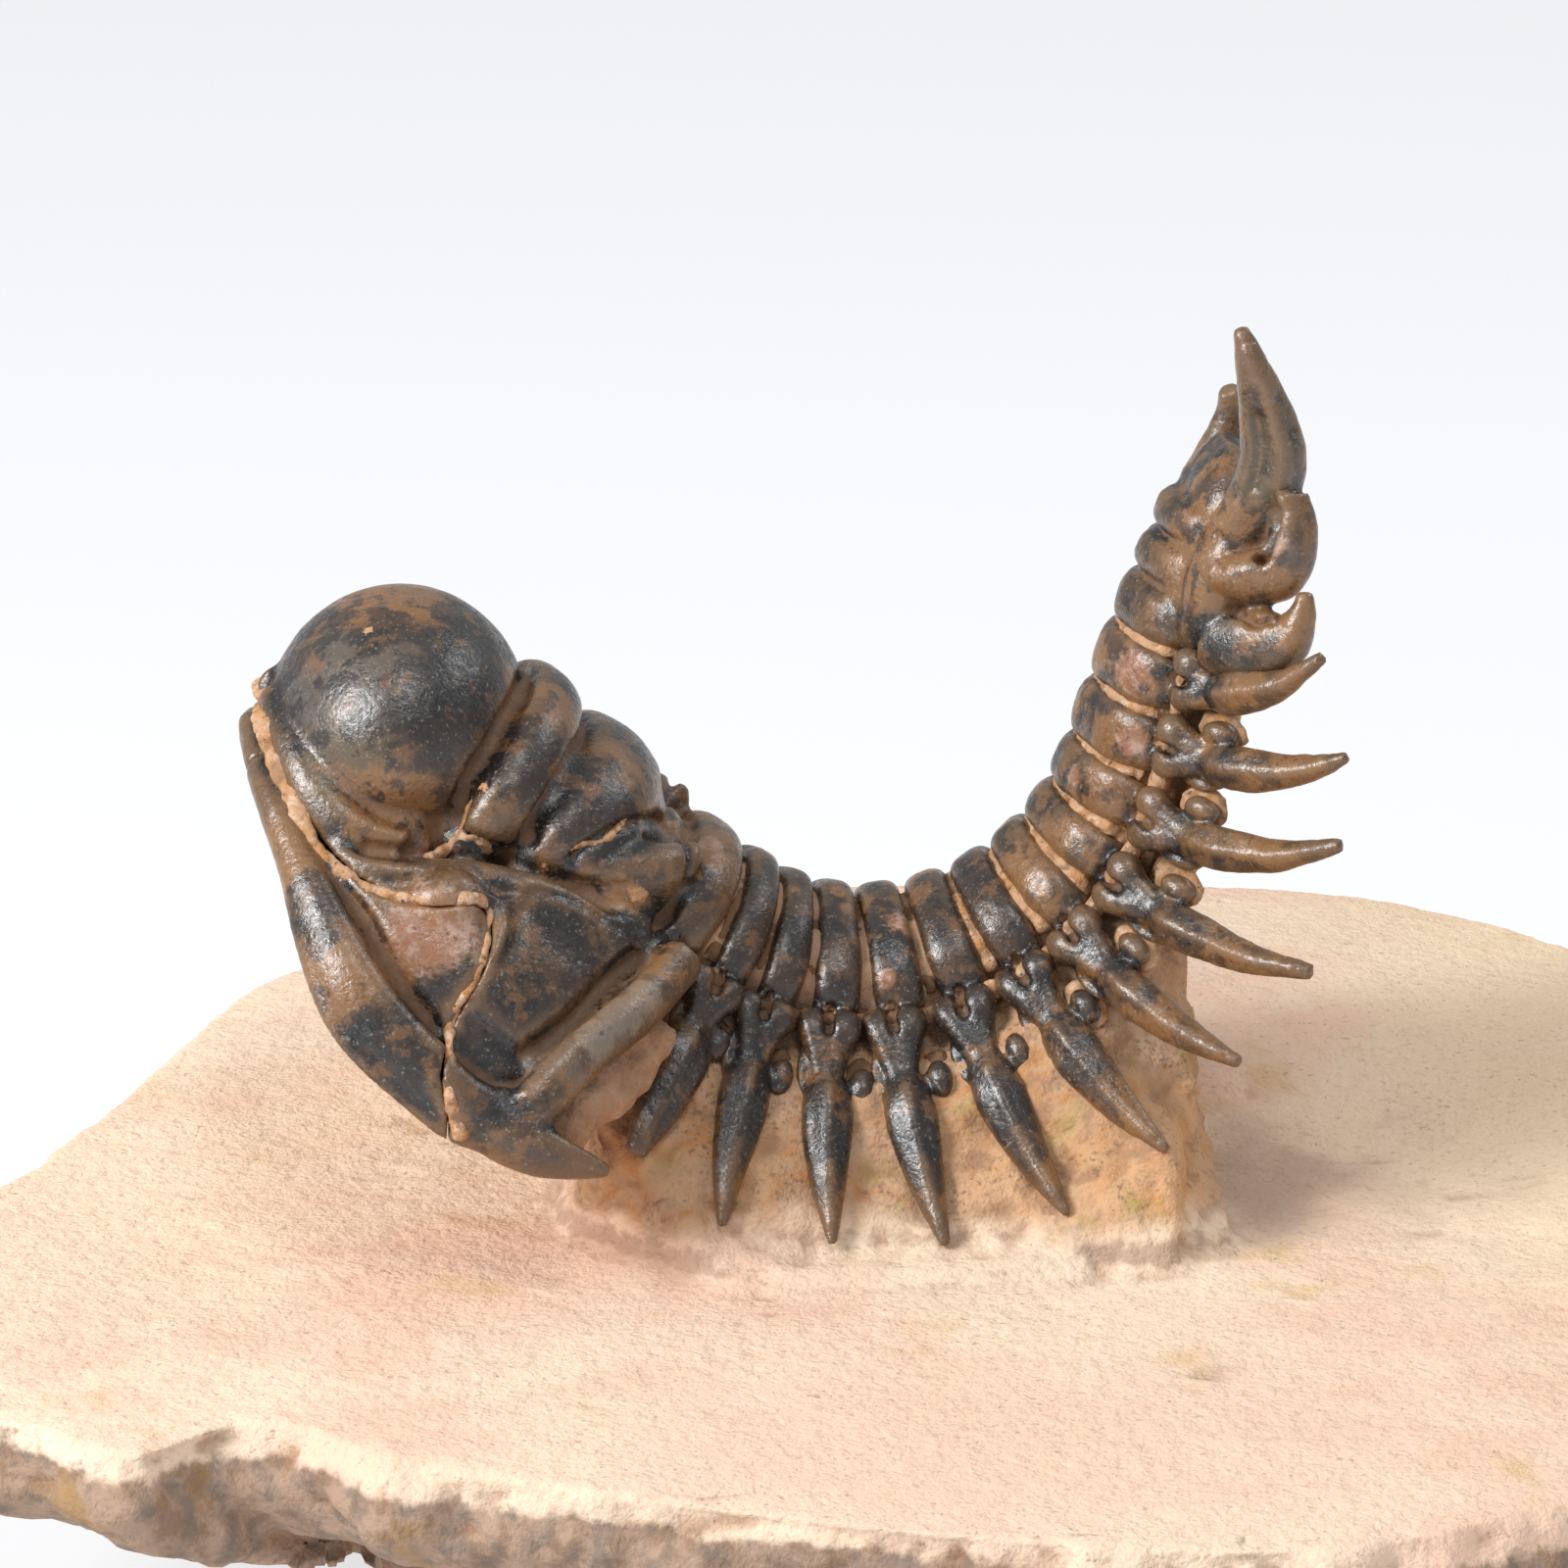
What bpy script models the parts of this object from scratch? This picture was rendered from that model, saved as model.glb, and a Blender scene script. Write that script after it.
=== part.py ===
"""Fossil trilobite with long pleural spines, prepared free above its block of matrix.

The animal faces -X with its back up and arched, its tail raised at +X. The body is a chain
of segments: each has its own place and slope on the midline, and is symmetrical about y = 0.
Lengths are in millimetres and angles in degrees until a mesh is made, in metres.
The origin is on the flat underside of the block.
"""

import math

import bmesh
import bpy
from mathutils import Matrix, Vector, noise

MM = 0.001

# Trunk: the occipital ring, eleven thoracic segments and three rings of the tail
THORAX_SEGMENTS = 11
TAIL_RINGS = 3
OCCIPITAL_X = -5.7
OCCIPITAL_Z = 36.1
OCCIPITAL_SLOPE = -36.0
BENDS = (3.5, 11.0, 14.5, 14.0, 14.0, 13.5, 12.0, 12.5, 11.0, 4.5, -0.5, -2.5, 0.0, 1.0)
PITCHES = (2.7, 2.85, 3.2, 3.5, 3.55, 3.45, 3.4, 3.35, 3.2, 3.4, 3.4, 3.15, 2.8, 2.3)
AXIS_HALF_WIDTH = 7.4
AXIS_WIDTH_TAPER = 0.228
AXIS_HEIGHT = 5.1
AXIS_HEIGHT_TAPER = 0.168
RING_DEPTH = 1.9
RING_FOOT = 0.4
CLEARANCE = 0.36
MATRIX_CLEARANCE = 0.42
ACROSS = Vector((0.0, 1.0, 0.0))

# Side lobes of the thorax: reach beyond the axis, drop below it, and the sweep of each tip
SPINE_REACH = (6.8, 8.5, 9.1, 9.5, 9.5, 9.5, 9.6, 9.4, 9.1, 8.4, 7.1)
SPINE_DROP = (9.0, 10.1, 9.8, 10.0, 10.3, 10.0, 9.1, 9.6, 8.6, 7.9, 5.4)
SPINE_SWEEP = (-0.8, 0.1, 0.2, 0.2, 0.7, 1.0, 1.5, 2.1, 3.8, 4.1, 5.2)
SPINE_START = (-0.6, -0.6, -0.4, -0.6, -0.5, -0.5, -0.6, -0.6, -0.1, 0.5, 0.7)
LAST_RESTING_SPINE = 6
FLANK_OUT = Vector((0.0, 0.75, 0.66))
SPINE_THICKNESS = 1.5
# Share of the reach and of the drop at the knobs, neck, shoulder, middle and tip of a spine
SPINE_SHARES = ((0.16, 0.09), (0.34, 0.25), (0.54, 0.42), (0.77, 0.72), (1.0, 1.0))
KNOB_SHARE = (0.15, 0.08)
KNOB_SPREAD = 0.72
FRONT_KNOB = 0.86
REAR_KNOB = 0.8
BEAD_SHARE = (0.36, 0.27)
BEAD_RADII = (0.55, 0.85, 0.75)
BEAD_HEIGHT = 2.2

# Head
HEAD_SLOPE = -44.0
HEAD_BELLY = -8.6
FRONTAL_LOBE = Vector((18.45, 0.0, -2.4))
FRONTAL_RADII = (6.85, 9.3, 7.1)
# Sections of the lobed middle: forward, half width, crest, height of the middle
GLABELLA = (
    (2.2, 5.6, 3.4, 0.0), (4.0, 5.8, 3.9, 0.0), (5.2, 6.8, 4.2, 0.0), (6.3, 8.2, 5.0, 0.0),
    (8.0, 8.9, 5.35, -0.1), (9.7, 8.7, 5.0, -0.4), (10.7, 8.0, 4.1, -0.7),
    (11.6, 8.7, 4.9, -0.9), (13.0, 9.1, 5.2, -1.3), (14.4, 8.9, 4.9, -1.8),
    (15.3, 8.2, 4.0, -2.2), (17.0, 7.5, 3.4, -2.4),
)
# From the back of the cheek round to the middle of the front: forward, across, up
AXIAL_FURROW = (
    (0.2, 7.8, -0.6), (4.0, 8.6, -0.8), (8.0, 9.2, -1.4), (11.5, 9.6, -2.9),
    (14.5, 9.8, -5.0), (17.5, 9.2, -7.2), (21.0, 6.5, -8.0), (23.2, 0.0, -7.4),
)
BORDER_FURROW = (
    (2.0, 15.8, -7.8), (5.0, 16.8, -10.0), (9.0, 16.3, -10.0), (13.0, 14.9, -9.6),
    (15.9, 13.0, -9.0), (18.6, 10.8, -8.5), (21.7, 6.5, -8.0), (23.6, 0.0, -7.3),
)
MARGIN = (
    (0.8, 17.8, -10.0), (4.6, 19.2, -13.0), (9.8, 18.5, -13.6), (13.8, 17.0, -13.4),
    (17.2, 14.0, -11.9), (19.7, 10.5, -10.4), (22.7, 6.0, -9.0), (24.3, 0.0, -8.5),
)
# Side view of the suture that parts the free cheek from the middle of the head: forward, up
CHEEK_SUTURE = (
    (30.0, -6.4), (24.0, -6.8), (21.0, -7.7), (18.2, -8.0), (15.2, -7.3), (13.2, -5.9),
    (11.8, -4.5), (10.3, -4.7), (9.4, -6.2), (9.1, -8.2), (8.2, -10.8), (6.4, -12.2),
    (5.0, -14.0), (4.6, -20.0), (30.0, -20.0),
)
ROSTRAL_HALF_WIDTH = 4.6
SUTURE_HEART = Vector((17.0, -13.0))
BEYOND_HEAD = 30.0
# Details on each side, all as forward, across, up
SIDE_LOBE = ((7.9, 8.3, -0.3), (5.9, 7.5, 0.7), (3.9, 6.5, 1.7), (3.0, 4.4, 3.5))
SHOULDER = (4.0, 7.5, -1.6)
SHOULDER_RADII = (3.8, 2.6, 2.1)
REAR_BORDER = ((0.5, 9.0, -0.1), (1.4, 12.7, -2.8), (2.8, 16.2, -6.3), (3.2, 18.4, -9.5))
CORNER_SPINE = ((4.8, 17.8, -11.3), (2.6, 18.7, -10.9), (0.6, 19.2, -10.1), (-1.8, 19.2, -8.9))
EYE = (12.1, 11.9, -5.9)
EYE_RADII = (2.3, 2.1, 2.3)
EYE_LOBE = (9.9, 10.9, -4.6)
EYE_LOBE_RADII = (0.9, 1.5, 2.6)

# Tail: each pair of spines as rear, beyond the axis, out, half width, half depth.
# The long spine of the animal's right side is broken short.
TAIL_RING_DEPTH = 2.4
TAIL_HOOK = (
    (0.2, 0.9, -0.9, 1.5, 1.2), (0.4, 1.9, -2.1, 1.8, 1.4), (1.1, 2.9, -3.2, 1.85, 1.4),
    (1.9, 3.9, -4.0, 1.5, 1.2), (3.3, 4.4, -4.3, 0.85, 0.8), (4.7, 4.4, -4.0, 0.4, 0.4),
)
TAIL_STUMP = (
    (0.6, 0.9, -0.4, 1.5, 1.2), (1.5, 2.3, -2.0, 1.7, 1.3), (2.6, 2.9, -2.9, 1.5, 1.3),
    (4.4, 2.9, -2.8, 1.3, 1.2), (6.2, 2.4, -2.1, 0.9, 0.9),
)
TAIL_LONG = (
    (0.7, 0.8, -0.5, 1.6, 1.2), (2.9, 1.3, -1.0, 1.8, 1.4), (5.2, 1.8, -0.9, 1.75, 1.3),
    (7.4, 2.1, 0.3, 1.45, 1.1), (9.4, 2.3, 1.7, 0.95, 0.85), (11.4, 2.3, 3.2, 0.35, 0.35),
)
TAIL_LONG_BROKEN = (
    (0.7, 0.8, -0.5, 1.6, 1.2), (2.9, 1.2, -1.0, 1.6, 1.3), (4.7, 1.1, -0.7, 1.1, 0.9),
    (6.2, 0.8, 0.0, 0.5, 0.5),
)
TAIL_FIELD = (0.3, 4.6, -0.5)
TAIL_FIELD_RADII = (4.2, 2.0, 1.7)

# Block of matrix
BASE_TOP = 21.5
BASE_RIM = 18.3
FOOT_TOP = 12.0
SAWN_FACE_X = -23.0
CUT_FACE_X = 21.0
FOOT_Z = 20.5
FOOT_FLARE = 2.6
SHELL = 1.9
CORE_INSET = 1.35
CORE_BELLY = -9.6
PEDESTAL_BOTTOM = 14.0
BASE_CENTRE = Vector((3.0, -3.0, 0.0))
# Share of the outline and height, from the underside up over the rim to the middle of the top
BASE_LEVELS = (
    (0.0, -2.0), (0.78, -2.0), (0.79, 3.0), (0.8, FOOT_TOP), (0.93, BASE_RIM - 3.0),
    (0.985, BASE_RIM - 1.5), (1.0, BASE_RIM), (0.995, 20.0), (0.975, None), (0.9, None),
    (0.7, None), (0.45, None), (0.2, None), (0.0, None),
)
RIM_ROUGHNESS = 1.3
RIM_GRAIN = 0.16
BASE_OUTLINE = (
    (-55, -19), (-50, -29), (-41, -33), (-35, -37), (-29, -34), (-21, -40), (-12, -44), (4, -50),
    (20, -53), (33, -49), (45, -41), (54, -29), (58, -11), (57, 9), (53, 26), (44, 39), (28, 45),
    (5, 45), (-14, 39), (-28, 30), (-36, 13), (-43, 0), (-52, -9),
)

# Mesh fineness
FOSSIL_VOXEL = 0.42
MATRIX_VOXEL = 0.9
SEGMENT_TRIANGLES = 214
HEAD_TRIANGLES = 1400
TAIL_TRIANGLES = 560
MATRIX_TRIANGLES = 1600
LEAST_SHARE_LEFT = 0.02
SIDES = (-1, 1)


class Station:
    """A place on the midline: tangent to the rear, y across, normal away from the belly."""

    def __init__(self, x, z, slope):
        turn = math.radians(slope)
        self.origin = Vector((x, 0.0, z))
        self.slope = slope
        self.rear = Vector((math.cos(turn), 0.0, math.sin(turn)))
        self.out = Vector((-math.sin(turn), 0.0, math.cos(turn)))
        self.front_pitch = 0.0
        self.back_pitch = 0.0
        self.front_bend = 0.0
        self.back_bend = 0.0

    def at(self, rear, across, out):
        return self.origin + self.rear * rear + ACROSS * across + self.out * out

    def limits(self, out):
        """How far a ring may run to the front and to the back at a height above the hinge."""
        front = self.front_pitch / 2 - out * math.tan(math.radians(self.front_bend / 2))
        back = self.back_pitch / 2 - out * math.tan(math.radians(self.back_bend / 2))
        return CLEARANCE / 2 - front, back - CLEARANCE / 2


class Head:
    """The head's own axes: forward, across and up from the neck."""

    def __init__(self):
        self.frame = Station(OCCIPITAL_X, OCCIPITAL_Z, HEAD_SLOPE)
        self.forward = -self.frame.rear
        self.up = self.frame.out
        self.axes = (self.forward, ACROSS, self.up)

    def at(self, forward, across, up):
        return self.frame.at(-forward, across, up)


def trunk_chain():
    stations = [Station(OCCIPITAL_X, OCCIPITAL_Z, OCCIPITAL_SLOPE)]
    for bend, pitch in zip(BENDS, PITCHES):
        last = stations[-1]
        chord = math.radians(last.slope + bend / 2)
        x = last.origin.x + pitch * math.cos(chord)
        z = last.origin.z + pitch * math.sin(chord)
        station = Station(x, z, last.slope + bend)
        station.front_pitch = pitch
        station.front_bend = bend
        last.back_pitch = pitch
        last.back_bend = bend
        stations.append(station)
    stations[-1].back_pitch = stations[-1].front_pitch
    return stations


def axis_half_width(index):
    return AXIS_HALF_WIDTH - AXIS_WIDTH_TAPER * index


def axis_height(index):
    return AXIS_HEIGHT - AXIS_HEIGHT_TAPER * index


def blend(values, place):
    """A smooth curve through the values, read at a place counted in values."""
    last = len(values) - 1
    start = min(int(place), last - 1)
    t = place - start
    p0 = values[max(start - 1, 0)]
    p1 = values[start]
    p2 = values[start + 1]
    p3 = values[min(start + 2, last)]
    a = p2 - p0
    b = p0 * 2 - p1 * 5 + p2 * 4 - p3
    c = p1 * 3 - p0 - p2 * 3 + p3
    return p1 + (a * t + b * (t * t) + c * (t * t * t)) * 0.5


def close_loft(bm, rows):
    """Skin the rows of points into a closed tube with a fan at each end."""
    rings = [[bm.verts.new(point * MM) for point in row] for row in rows]
    count = len(rows[0])
    for ring, after in zip(rings, rings[1:]):
        for i in range(count):
            j = (i + 1) % count
            bm.faces.new((ring[i], ring[j], after[j], after[i]))
    for ring in (rings[0], rings[-1]):
        middle = sum((v.co for v in ring), Vector()) / count
        tip = bm.verts.new(middle)
        for i in range(count):
            bm.faces.new((ring[i], ring[(i + 1) % count], tip))


def add_ball(bm, centre, axes, radii):
    matrix = Matrix.Identity(4)
    for column, (axis, radius) in enumerate(zip(axes, radii)):
        for row in range(3):
            matrix[row][column] = axis[row] * radius * MM
        matrix[column][3] = centre[column] * MM
    bmesh.ops.create_icosphere(bm, subdivisions=3, radius=1.0, matrix=matrix)


def add_sweep(bm, centres, widths, depths, wide_axis, steps=5, sides=14, squareness=2.3):
    """A tube through the centres: half widths along wide_axis, half depths across it."""
    rows = []
    total = (len(centres) - 1) * steps
    for step in range(total + 1):
        place = step / steps
        centre = blend(centres, place)
        ahead = blend(centres, min(place + 0.05, len(centres) - 1))
        behind = blend(centres, max(place - 0.05, 0))
        along = (ahead - behind).normalized()
        wide = (wide_axis - along * wide_axis.dot(along)).normalized()
        deep = along.cross(wide)
        half_width = max(blend(widths, place), 0.05)
        half_depth = max(blend(depths, place), 0.05)
        row = []
        for i in range(sides):
            angle = math.tau * i / sides
            c = math.copysign(abs(math.cos(angle)) ** (2 / squareness), math.cos(angle))
            s = math.copysign(abs(math.sin(angle)) ** (2 / squareness), math.sin(angle))
            row.append(centre + wide * (half_width * c) + deep * (half_depth * s))
        rows.append(row)
    close_loft(bm, rows)


def add_arch(bm, station, half_width, height, depth, squareness=2.4):
    """An axial ring: a half ellipse over the back, its length set by the neighbours."""
    stops = 18
    centres = []
    widths = []
    for stop in range(stops + 1):
        angle = math.pi * stop / stops
        across = -math.cos(angle) * (half_width - depth / 2)
        out = math.sin(angle) * (height - depth / 2)
        if stop in (0, stops):
            out -= RING_FOOT
        front, back = station.limits(out + depth / 2)
        centres.append(station.at((front + back) / 2, across, out))
        widths.append((back - front) / 2)
    depths = [depth / 2] * (stops + 1)
    add_sweep(bm, centres, widths, depths, station.rear, 2, 16, squareness)


def evaluated(obj):
    """A copy of the object's mesh with its modifiers applied."""
    graph = bpy.context.evaluated_depsgraph_get()
    return bpy.data.meshes.new_from_object(obj.evaluated_get(graph), depsgraph=graph)


def bake(obj):
    mesh = evaluated(obj)
    old = obj.data
    obj.modifiers.clear()
    obj.data = mesh
    bpy.data.meshes.remove(old)


def clay_object(name, bm, voxel, smoothing):
    """Press overlapping closed shapes into one body with a voxel remesh."""
    bmesh.ops.recalc_face_normals(bm, faces=bm.faces)
    mesh = bpy.data.meshes.new(name)
    bm.to_mesh(mesh)
    bm.free()
    obj = bpy.data.objects.new(name, mesh)
    bpy.context.scene.collection.objects.link(obj)
    remesh = obj.modifiers.new("Join", "REMESH")
    remesh.mode = "VOXEL"
    remesh.voxel_size = voxel * MM
    smooth = obj.modifiers.new("Soften", "SMOOTH")
    smooth.factor = 0.5
    smooth.iterations = smoothing
    bake(obj)
    return obj


def thin_out(obj, triangles):
    count = sum(len(face.vertices) - 2 for face in obj.data.polygons)
    if count > triangles:
        decimate = obj.modifiers.new("Thin", "DECIMATE")
        decimate.ratio = triangles / count
        bake(obj)


def boolean(obj, tool, operation):
    """Cut or keep by the tool. A cut that loses the piece is made with the second solver."""
    before = len(obj.data.polygons)
    for solver in ("EXACT", "MANIFOLD"):
        cut = obj.modifiers.new("Cut", "BOOLEAN")
        cut.operation = operation
        cut.solver = solver
        cut.object = tool
        if len(evaluated(obj).polygons) > before * LEAST_SHARE_LEFT:
            bake(obj)
            return
        obj.modifiers.remove(cut)
    raise ValueError(obj.name + " was lost in a cut")


def swollen_copy(obj, amount):
    """A guide with the object's shape, grown along its normals."""
    tool = bpy.data.objects.new(obj.name + "_guide", obj.data.copy())
    bpy.context.scene.collection.objects.link(tool)
    normals = [vertex.normal.copy() for vertex in tool.data.vertices]
    for vertex, normal in zip(tool.data.vertices, normals):
        vertex.co += normal * (amount * MM)
    tool.hide_render = True
    tool.display_type = "WIRE"
    return tool


def keep_largest_body(obj):
    """Drop the crumbs that a cut leaves, weld what it split, and triangulate."""
    bm = bmesh.new()
    bm.from_mesh(obj.data)
    bmesh.ops.remove_doubles(bm, verts=bm.verts, dist=0.02 * MM)
    bmesh.ops.dissolve_degenerate(bm, dist=0.01 * MM, edges=bm.edges)
    unseen = set(bm.verts)
    bodies = []
    while unseen:
        seed = unseen.pop()
        body = {seed}
        edge_of_body = [seed]
        while edge_of_body:
            vert = edge_of_body.pop()
            for edge in vert.link_edges:
                other = edge.other_vert(vert)
                if other in unseen:
                    unseen.discard(other)
                    body.add(other)
                    edge_of_body.append(other)
        bodies.append(body)
    bodies.sort(key=len)
    for body in bodies[:-1]:
        bmesh.ops.delete(bm, geom=list(body), context="VERTS")
    bmesh.ops.triangulate(bm, faces=bm.faces)
    bm.to_mesh(obj.data)
    bm.free()


def finish(obj, material):
    obj.data.materials.clear()
    obj.data.materials.append(material)
    obj.data.shade_smooth()
    obj.data.set_sharp_from_angle(angle=math.radians(50))


def make_material(name, colour, roughness):
    material = bpy.data.materials.new(name)
    material.use_nodes = True
    shader = material.node_tree.nodes["Principled BSDF"]
    shader.inputs["Base Color"].default_value = (*colour, 1.0)
    shader.inputs["Roughness"].default_value = roughness
    shader.inputs["Metallic"].default_value = 0.0
    material.diffuse_color = (*colour, 1.0)
    return material


# Head

def head_curve(head, points, side):
    return [head.at(forward, across * side, up) for forward, across, up in points]


def add_shield(bm, head, inset, belly):
    """The domed shield from one cheek round the front to the other, filled to the belly."""
    steps = 3
    last = len(MARGIN) - 1
    rows = []
    for side in SIDES:
        furrow = head_curve(head, AXIAL_FURROW, side)
        border = head_curve(head, BORDER_FURROW, side)
        margin = head_curve(head, MARGIN, side)
        half = []
        for step in range(last * steps + (side == SIDES[0])):
            place = step / steps
            a = blend(furrow, place)
            f = blend(border, place)
            m = blend(margin, place)
            heart = head.at(3.0 + 13.0 * place / last, 0.0, belly)
            half.append(shield_row(a, f, m, heart, inset))
        rows += half if side == SIDES[0] else half[::-1]
    close_loft(bm, rows)


def shield_row(axial, border, margin, heart, inset):
    """One closed section: over the cheek, round the border and back under the shield."""
    middle = (axial + border) / 2
    bulge = (middle - heart).normalized() * ((axial - border).length * 0.16)
    roll = (border + margin) / 2
    swell = (roll - heart).normalized() * 0.5
    under = margin.lerp(heart, 0.16)
    points = [axial, axial.lerp(border, 0.25) + bulge * 0.75, middle + bulge]
    points += [axial.lerp(border, 0.75) + bulge * 0.75, border, roll + swell, margin, under]
    return [p + (heart - p).normalized() * inset for p in points] + [heart]


def add_glabella(bm, head, inset):
    """The lobed middle of the head behind the frontal lobe: two barrels and a waist."""
    rows = []
    sides = 24
    for forward, half_width, crest, middle in GLABELLA:
        row = []
        for i in range(sides):
            angle = math.tau * i / sides
            across = (half_width - inset) * math.cos(angle)
            up = middle + (crest - middle - inset) * math.sin(angle)
            lean = -0.14 * max(4.0 - up, 0.0) * min(max((forward - 10.0) / 5.0, 0.0), 1.0)
            lean += 0.42 * min(max(3.5 - up, 0.0), 4.0) * min(max((8.0 - forward) / 2.5, 0.0), 1.0)
            row.append(head.at(forward + lean, across, max(up, -6.0)))
        rows.append(row)
    close_loft(bm, rows)


def add_head_core(bm, head, inset, belly):
    add_shield(bm, head, inset, belly)
    add_glabella(bm, head, inset)
    radii = [radius - inset for radius in FRONTAL_RADII]
    add_ball(bm, head.at(*FRONTAL_LOBE), head.axes, radii)


def add_head_details(bm, head, stations):
    occipital = stations[0]
    ring_centres = []
    for stop in range(13):
        angle = math.pi * stop / 12
        across = -math.cos(angle) * (AXIS_HALF_WIDTH - 0.9)
        out = math.sin(angle) * (AXIS_HEIGHT - 0.9)
        ring_centres.append(occipital.at(-0.75 + 0.25 * math.sin(angle), across, out))
    add_sweep(bm, ring_centres, [1.5] * 13, [1.0] * 13, occipital.rear, 2, 16, 2.4)
    for side in SIDES:
        # Triangular side lobe beside the neck
        lobe_centres = head_curve(head, SIDE_LOBE, side)
        add_sweep(bm, lobe_centres, [0.6, 1.5, 2.1, 1.2], [0.7, 1.3, 1.5, 0.9], head.up, 4)
        # Shoulder between the neck ring, that lobe and the rear border
        add_ball(bm, head_curve(head, [SHOULDER], side)[0], head.axes, SHOULDER_RADII)
        # Raised rear border, from the axis out to the corner
        rear_centres = head_curve(head, REAR_BORDER, side)
        add_sweep(bm, rear_centres, [1.25, 1.35, 1.35, 1.3], [1.1, 1.2, 1.2, 1.0], head.forward)
        # Rolled side border round to the front
        roll = [
            (a + b) / 2
            for a, b in zip(head_curve(head, BORDER_FURROW, side), head_curve(head, MARGIN, side))
        ]
        add_sweep(bm, roll, [1.6, 1.75, 1.85, 1.9, 1.5, 1.15, 0.85, 0.7],
                  [1.1, 1.25, 1.3, 1.3, 1.1, 0.95, 0.8, 0.75], head.up, 4)
        # Short spine at the corner, pointing back
        corner_centres = head_curve(head, CORNER_SPINE, side)
        add_sweep(bm, corner_centres, [1.8, 1.6, 1.15, 0.35], [1.3, 1.1, 0.8, 0.35], head.up)
        # Eye and the lobe above it
        add_ball(bm, head_curve(head, [EYE], side)[0], head.axes, EYE_RADII)
        add_ball(bm, head_curve(head, [EYE_LOBE], side)[0], head.axes, EYE_LOBE_RADII)


def suture_tool(head, near, far, side, grow):
    """A prism over the side view of a suture, from near to far across the head."""
    bm = bmesh.new()
    rows = []
    for across in (near - grow, far):
        row = []
        for forward, up in CHEEK_SUTURE:
            offset = (Vector((forward, up)) - SUTURE_HEART).normalized() * grow
            row.append(head.at(forward + offset.x, across * side, up + offset.y))
        rows.append(row)
    rings = [[bm.verts.new(p * MM) for p in row] for row in rows]
    count = len(CHEEK_SUTURE)
    for i in range(count):
        j = (i + 1) % count
        bm.faces.new((rings[0][i], rings[0][j], rings[1][j], rings[1][i]))
    bm.faces.new(rings[0])
    bm.faces.new(rings[1])
    bmesh.ops.recalc_face_normals(bm, faces=bm.faces)
    mesh = bpy.data.meshes.new("suture_guide")
    bm.to_mesh(mesh)
    bm.free()
    tool = bpy.data.objects.new("suture_guide", mesh)
    bpy.context.scene.collection.objects.link(tool)
    tool.hide_render = True
    tool.display_type = "WIRE"
    return tool


def make_head(head, stations, matrix_guide, material):
    bm = bmesh.new()
    add_head_core(bm, head, 0.0, HEAD_BELLY)
    add_head_details(bm, head, stations)
    cranidium = clay_object("cranidium", bm, FOSSIL_VOXEL, 2)
    thin_out(cranidium, HEAD_TRIANGLES)
    boolean(cranidium, matrix_guide, "DIFFERENCE")
    pieces = [cranidium]
    for name, side in (("free_cheek_left", -1), ("free_cheek_right", 1)):
        piece = bpy.data.objects.new(name, cranidium.data.copy())
        bpy.context.scene.collection.objects.link(piece)
        tool = suture_tool(head, ROSTRAL_HALF_WIDTH, BEYOND_HEAD, side, 0.0)
        boolean(piece, tool, "INTERSECT")
        bpy.data.objects.remove(tool)
        pieces.append(piece)
    rostral = bpy.data.objects.new("rostral_plate", cranidium.data.copy())
    bpy.context.scene.collection.objects.link(rostral)
    half = ROSTRAL_HALF_WIDTH - CLEARANCE
    tool = suture_tool(head, -half, half, 1, 0.0)
    boolean(rostral, tool, "INTERSECT")
    bpy.data.objects.remove(tool)
    pieces.append(rostral)
    tool = suture_tool(head, -BEYOND_HEAD, BEYOND_HEAD, 1, CLEARANCE)
    boolean(cranidium, tool, "DIFFERENCE")
    bpy.data.objects.remove(tool)
    for piece in pieces:
        keep_largest_body(piece)
        finish(piece, material)


# Thorax

def spine_surface(station, index, side, share_out, share_down):
    """A point on the outer face of a segment's side lobe."""
    start = SPINE_START[index - 1]
    along = start + (SPINE_SWEEP[index - 1] - start) * share_out ** 3
    across = axis_half_width(index) + SPINE_REACH[index - 1] * share_out
    return station.at(along, across * side, -SPINE_DROP[index - 1] * share_down)


def lobe_point(station, index, side, share_out, share_down, depth):
    """The same point, moved in under the surface."""
    inward = ACROSS * (FLANK_OUT.y * side) + station.out * FLANK_OUT.z
    return spine_surface(station, index, side, share_out, share_down) - inward * depth


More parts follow.
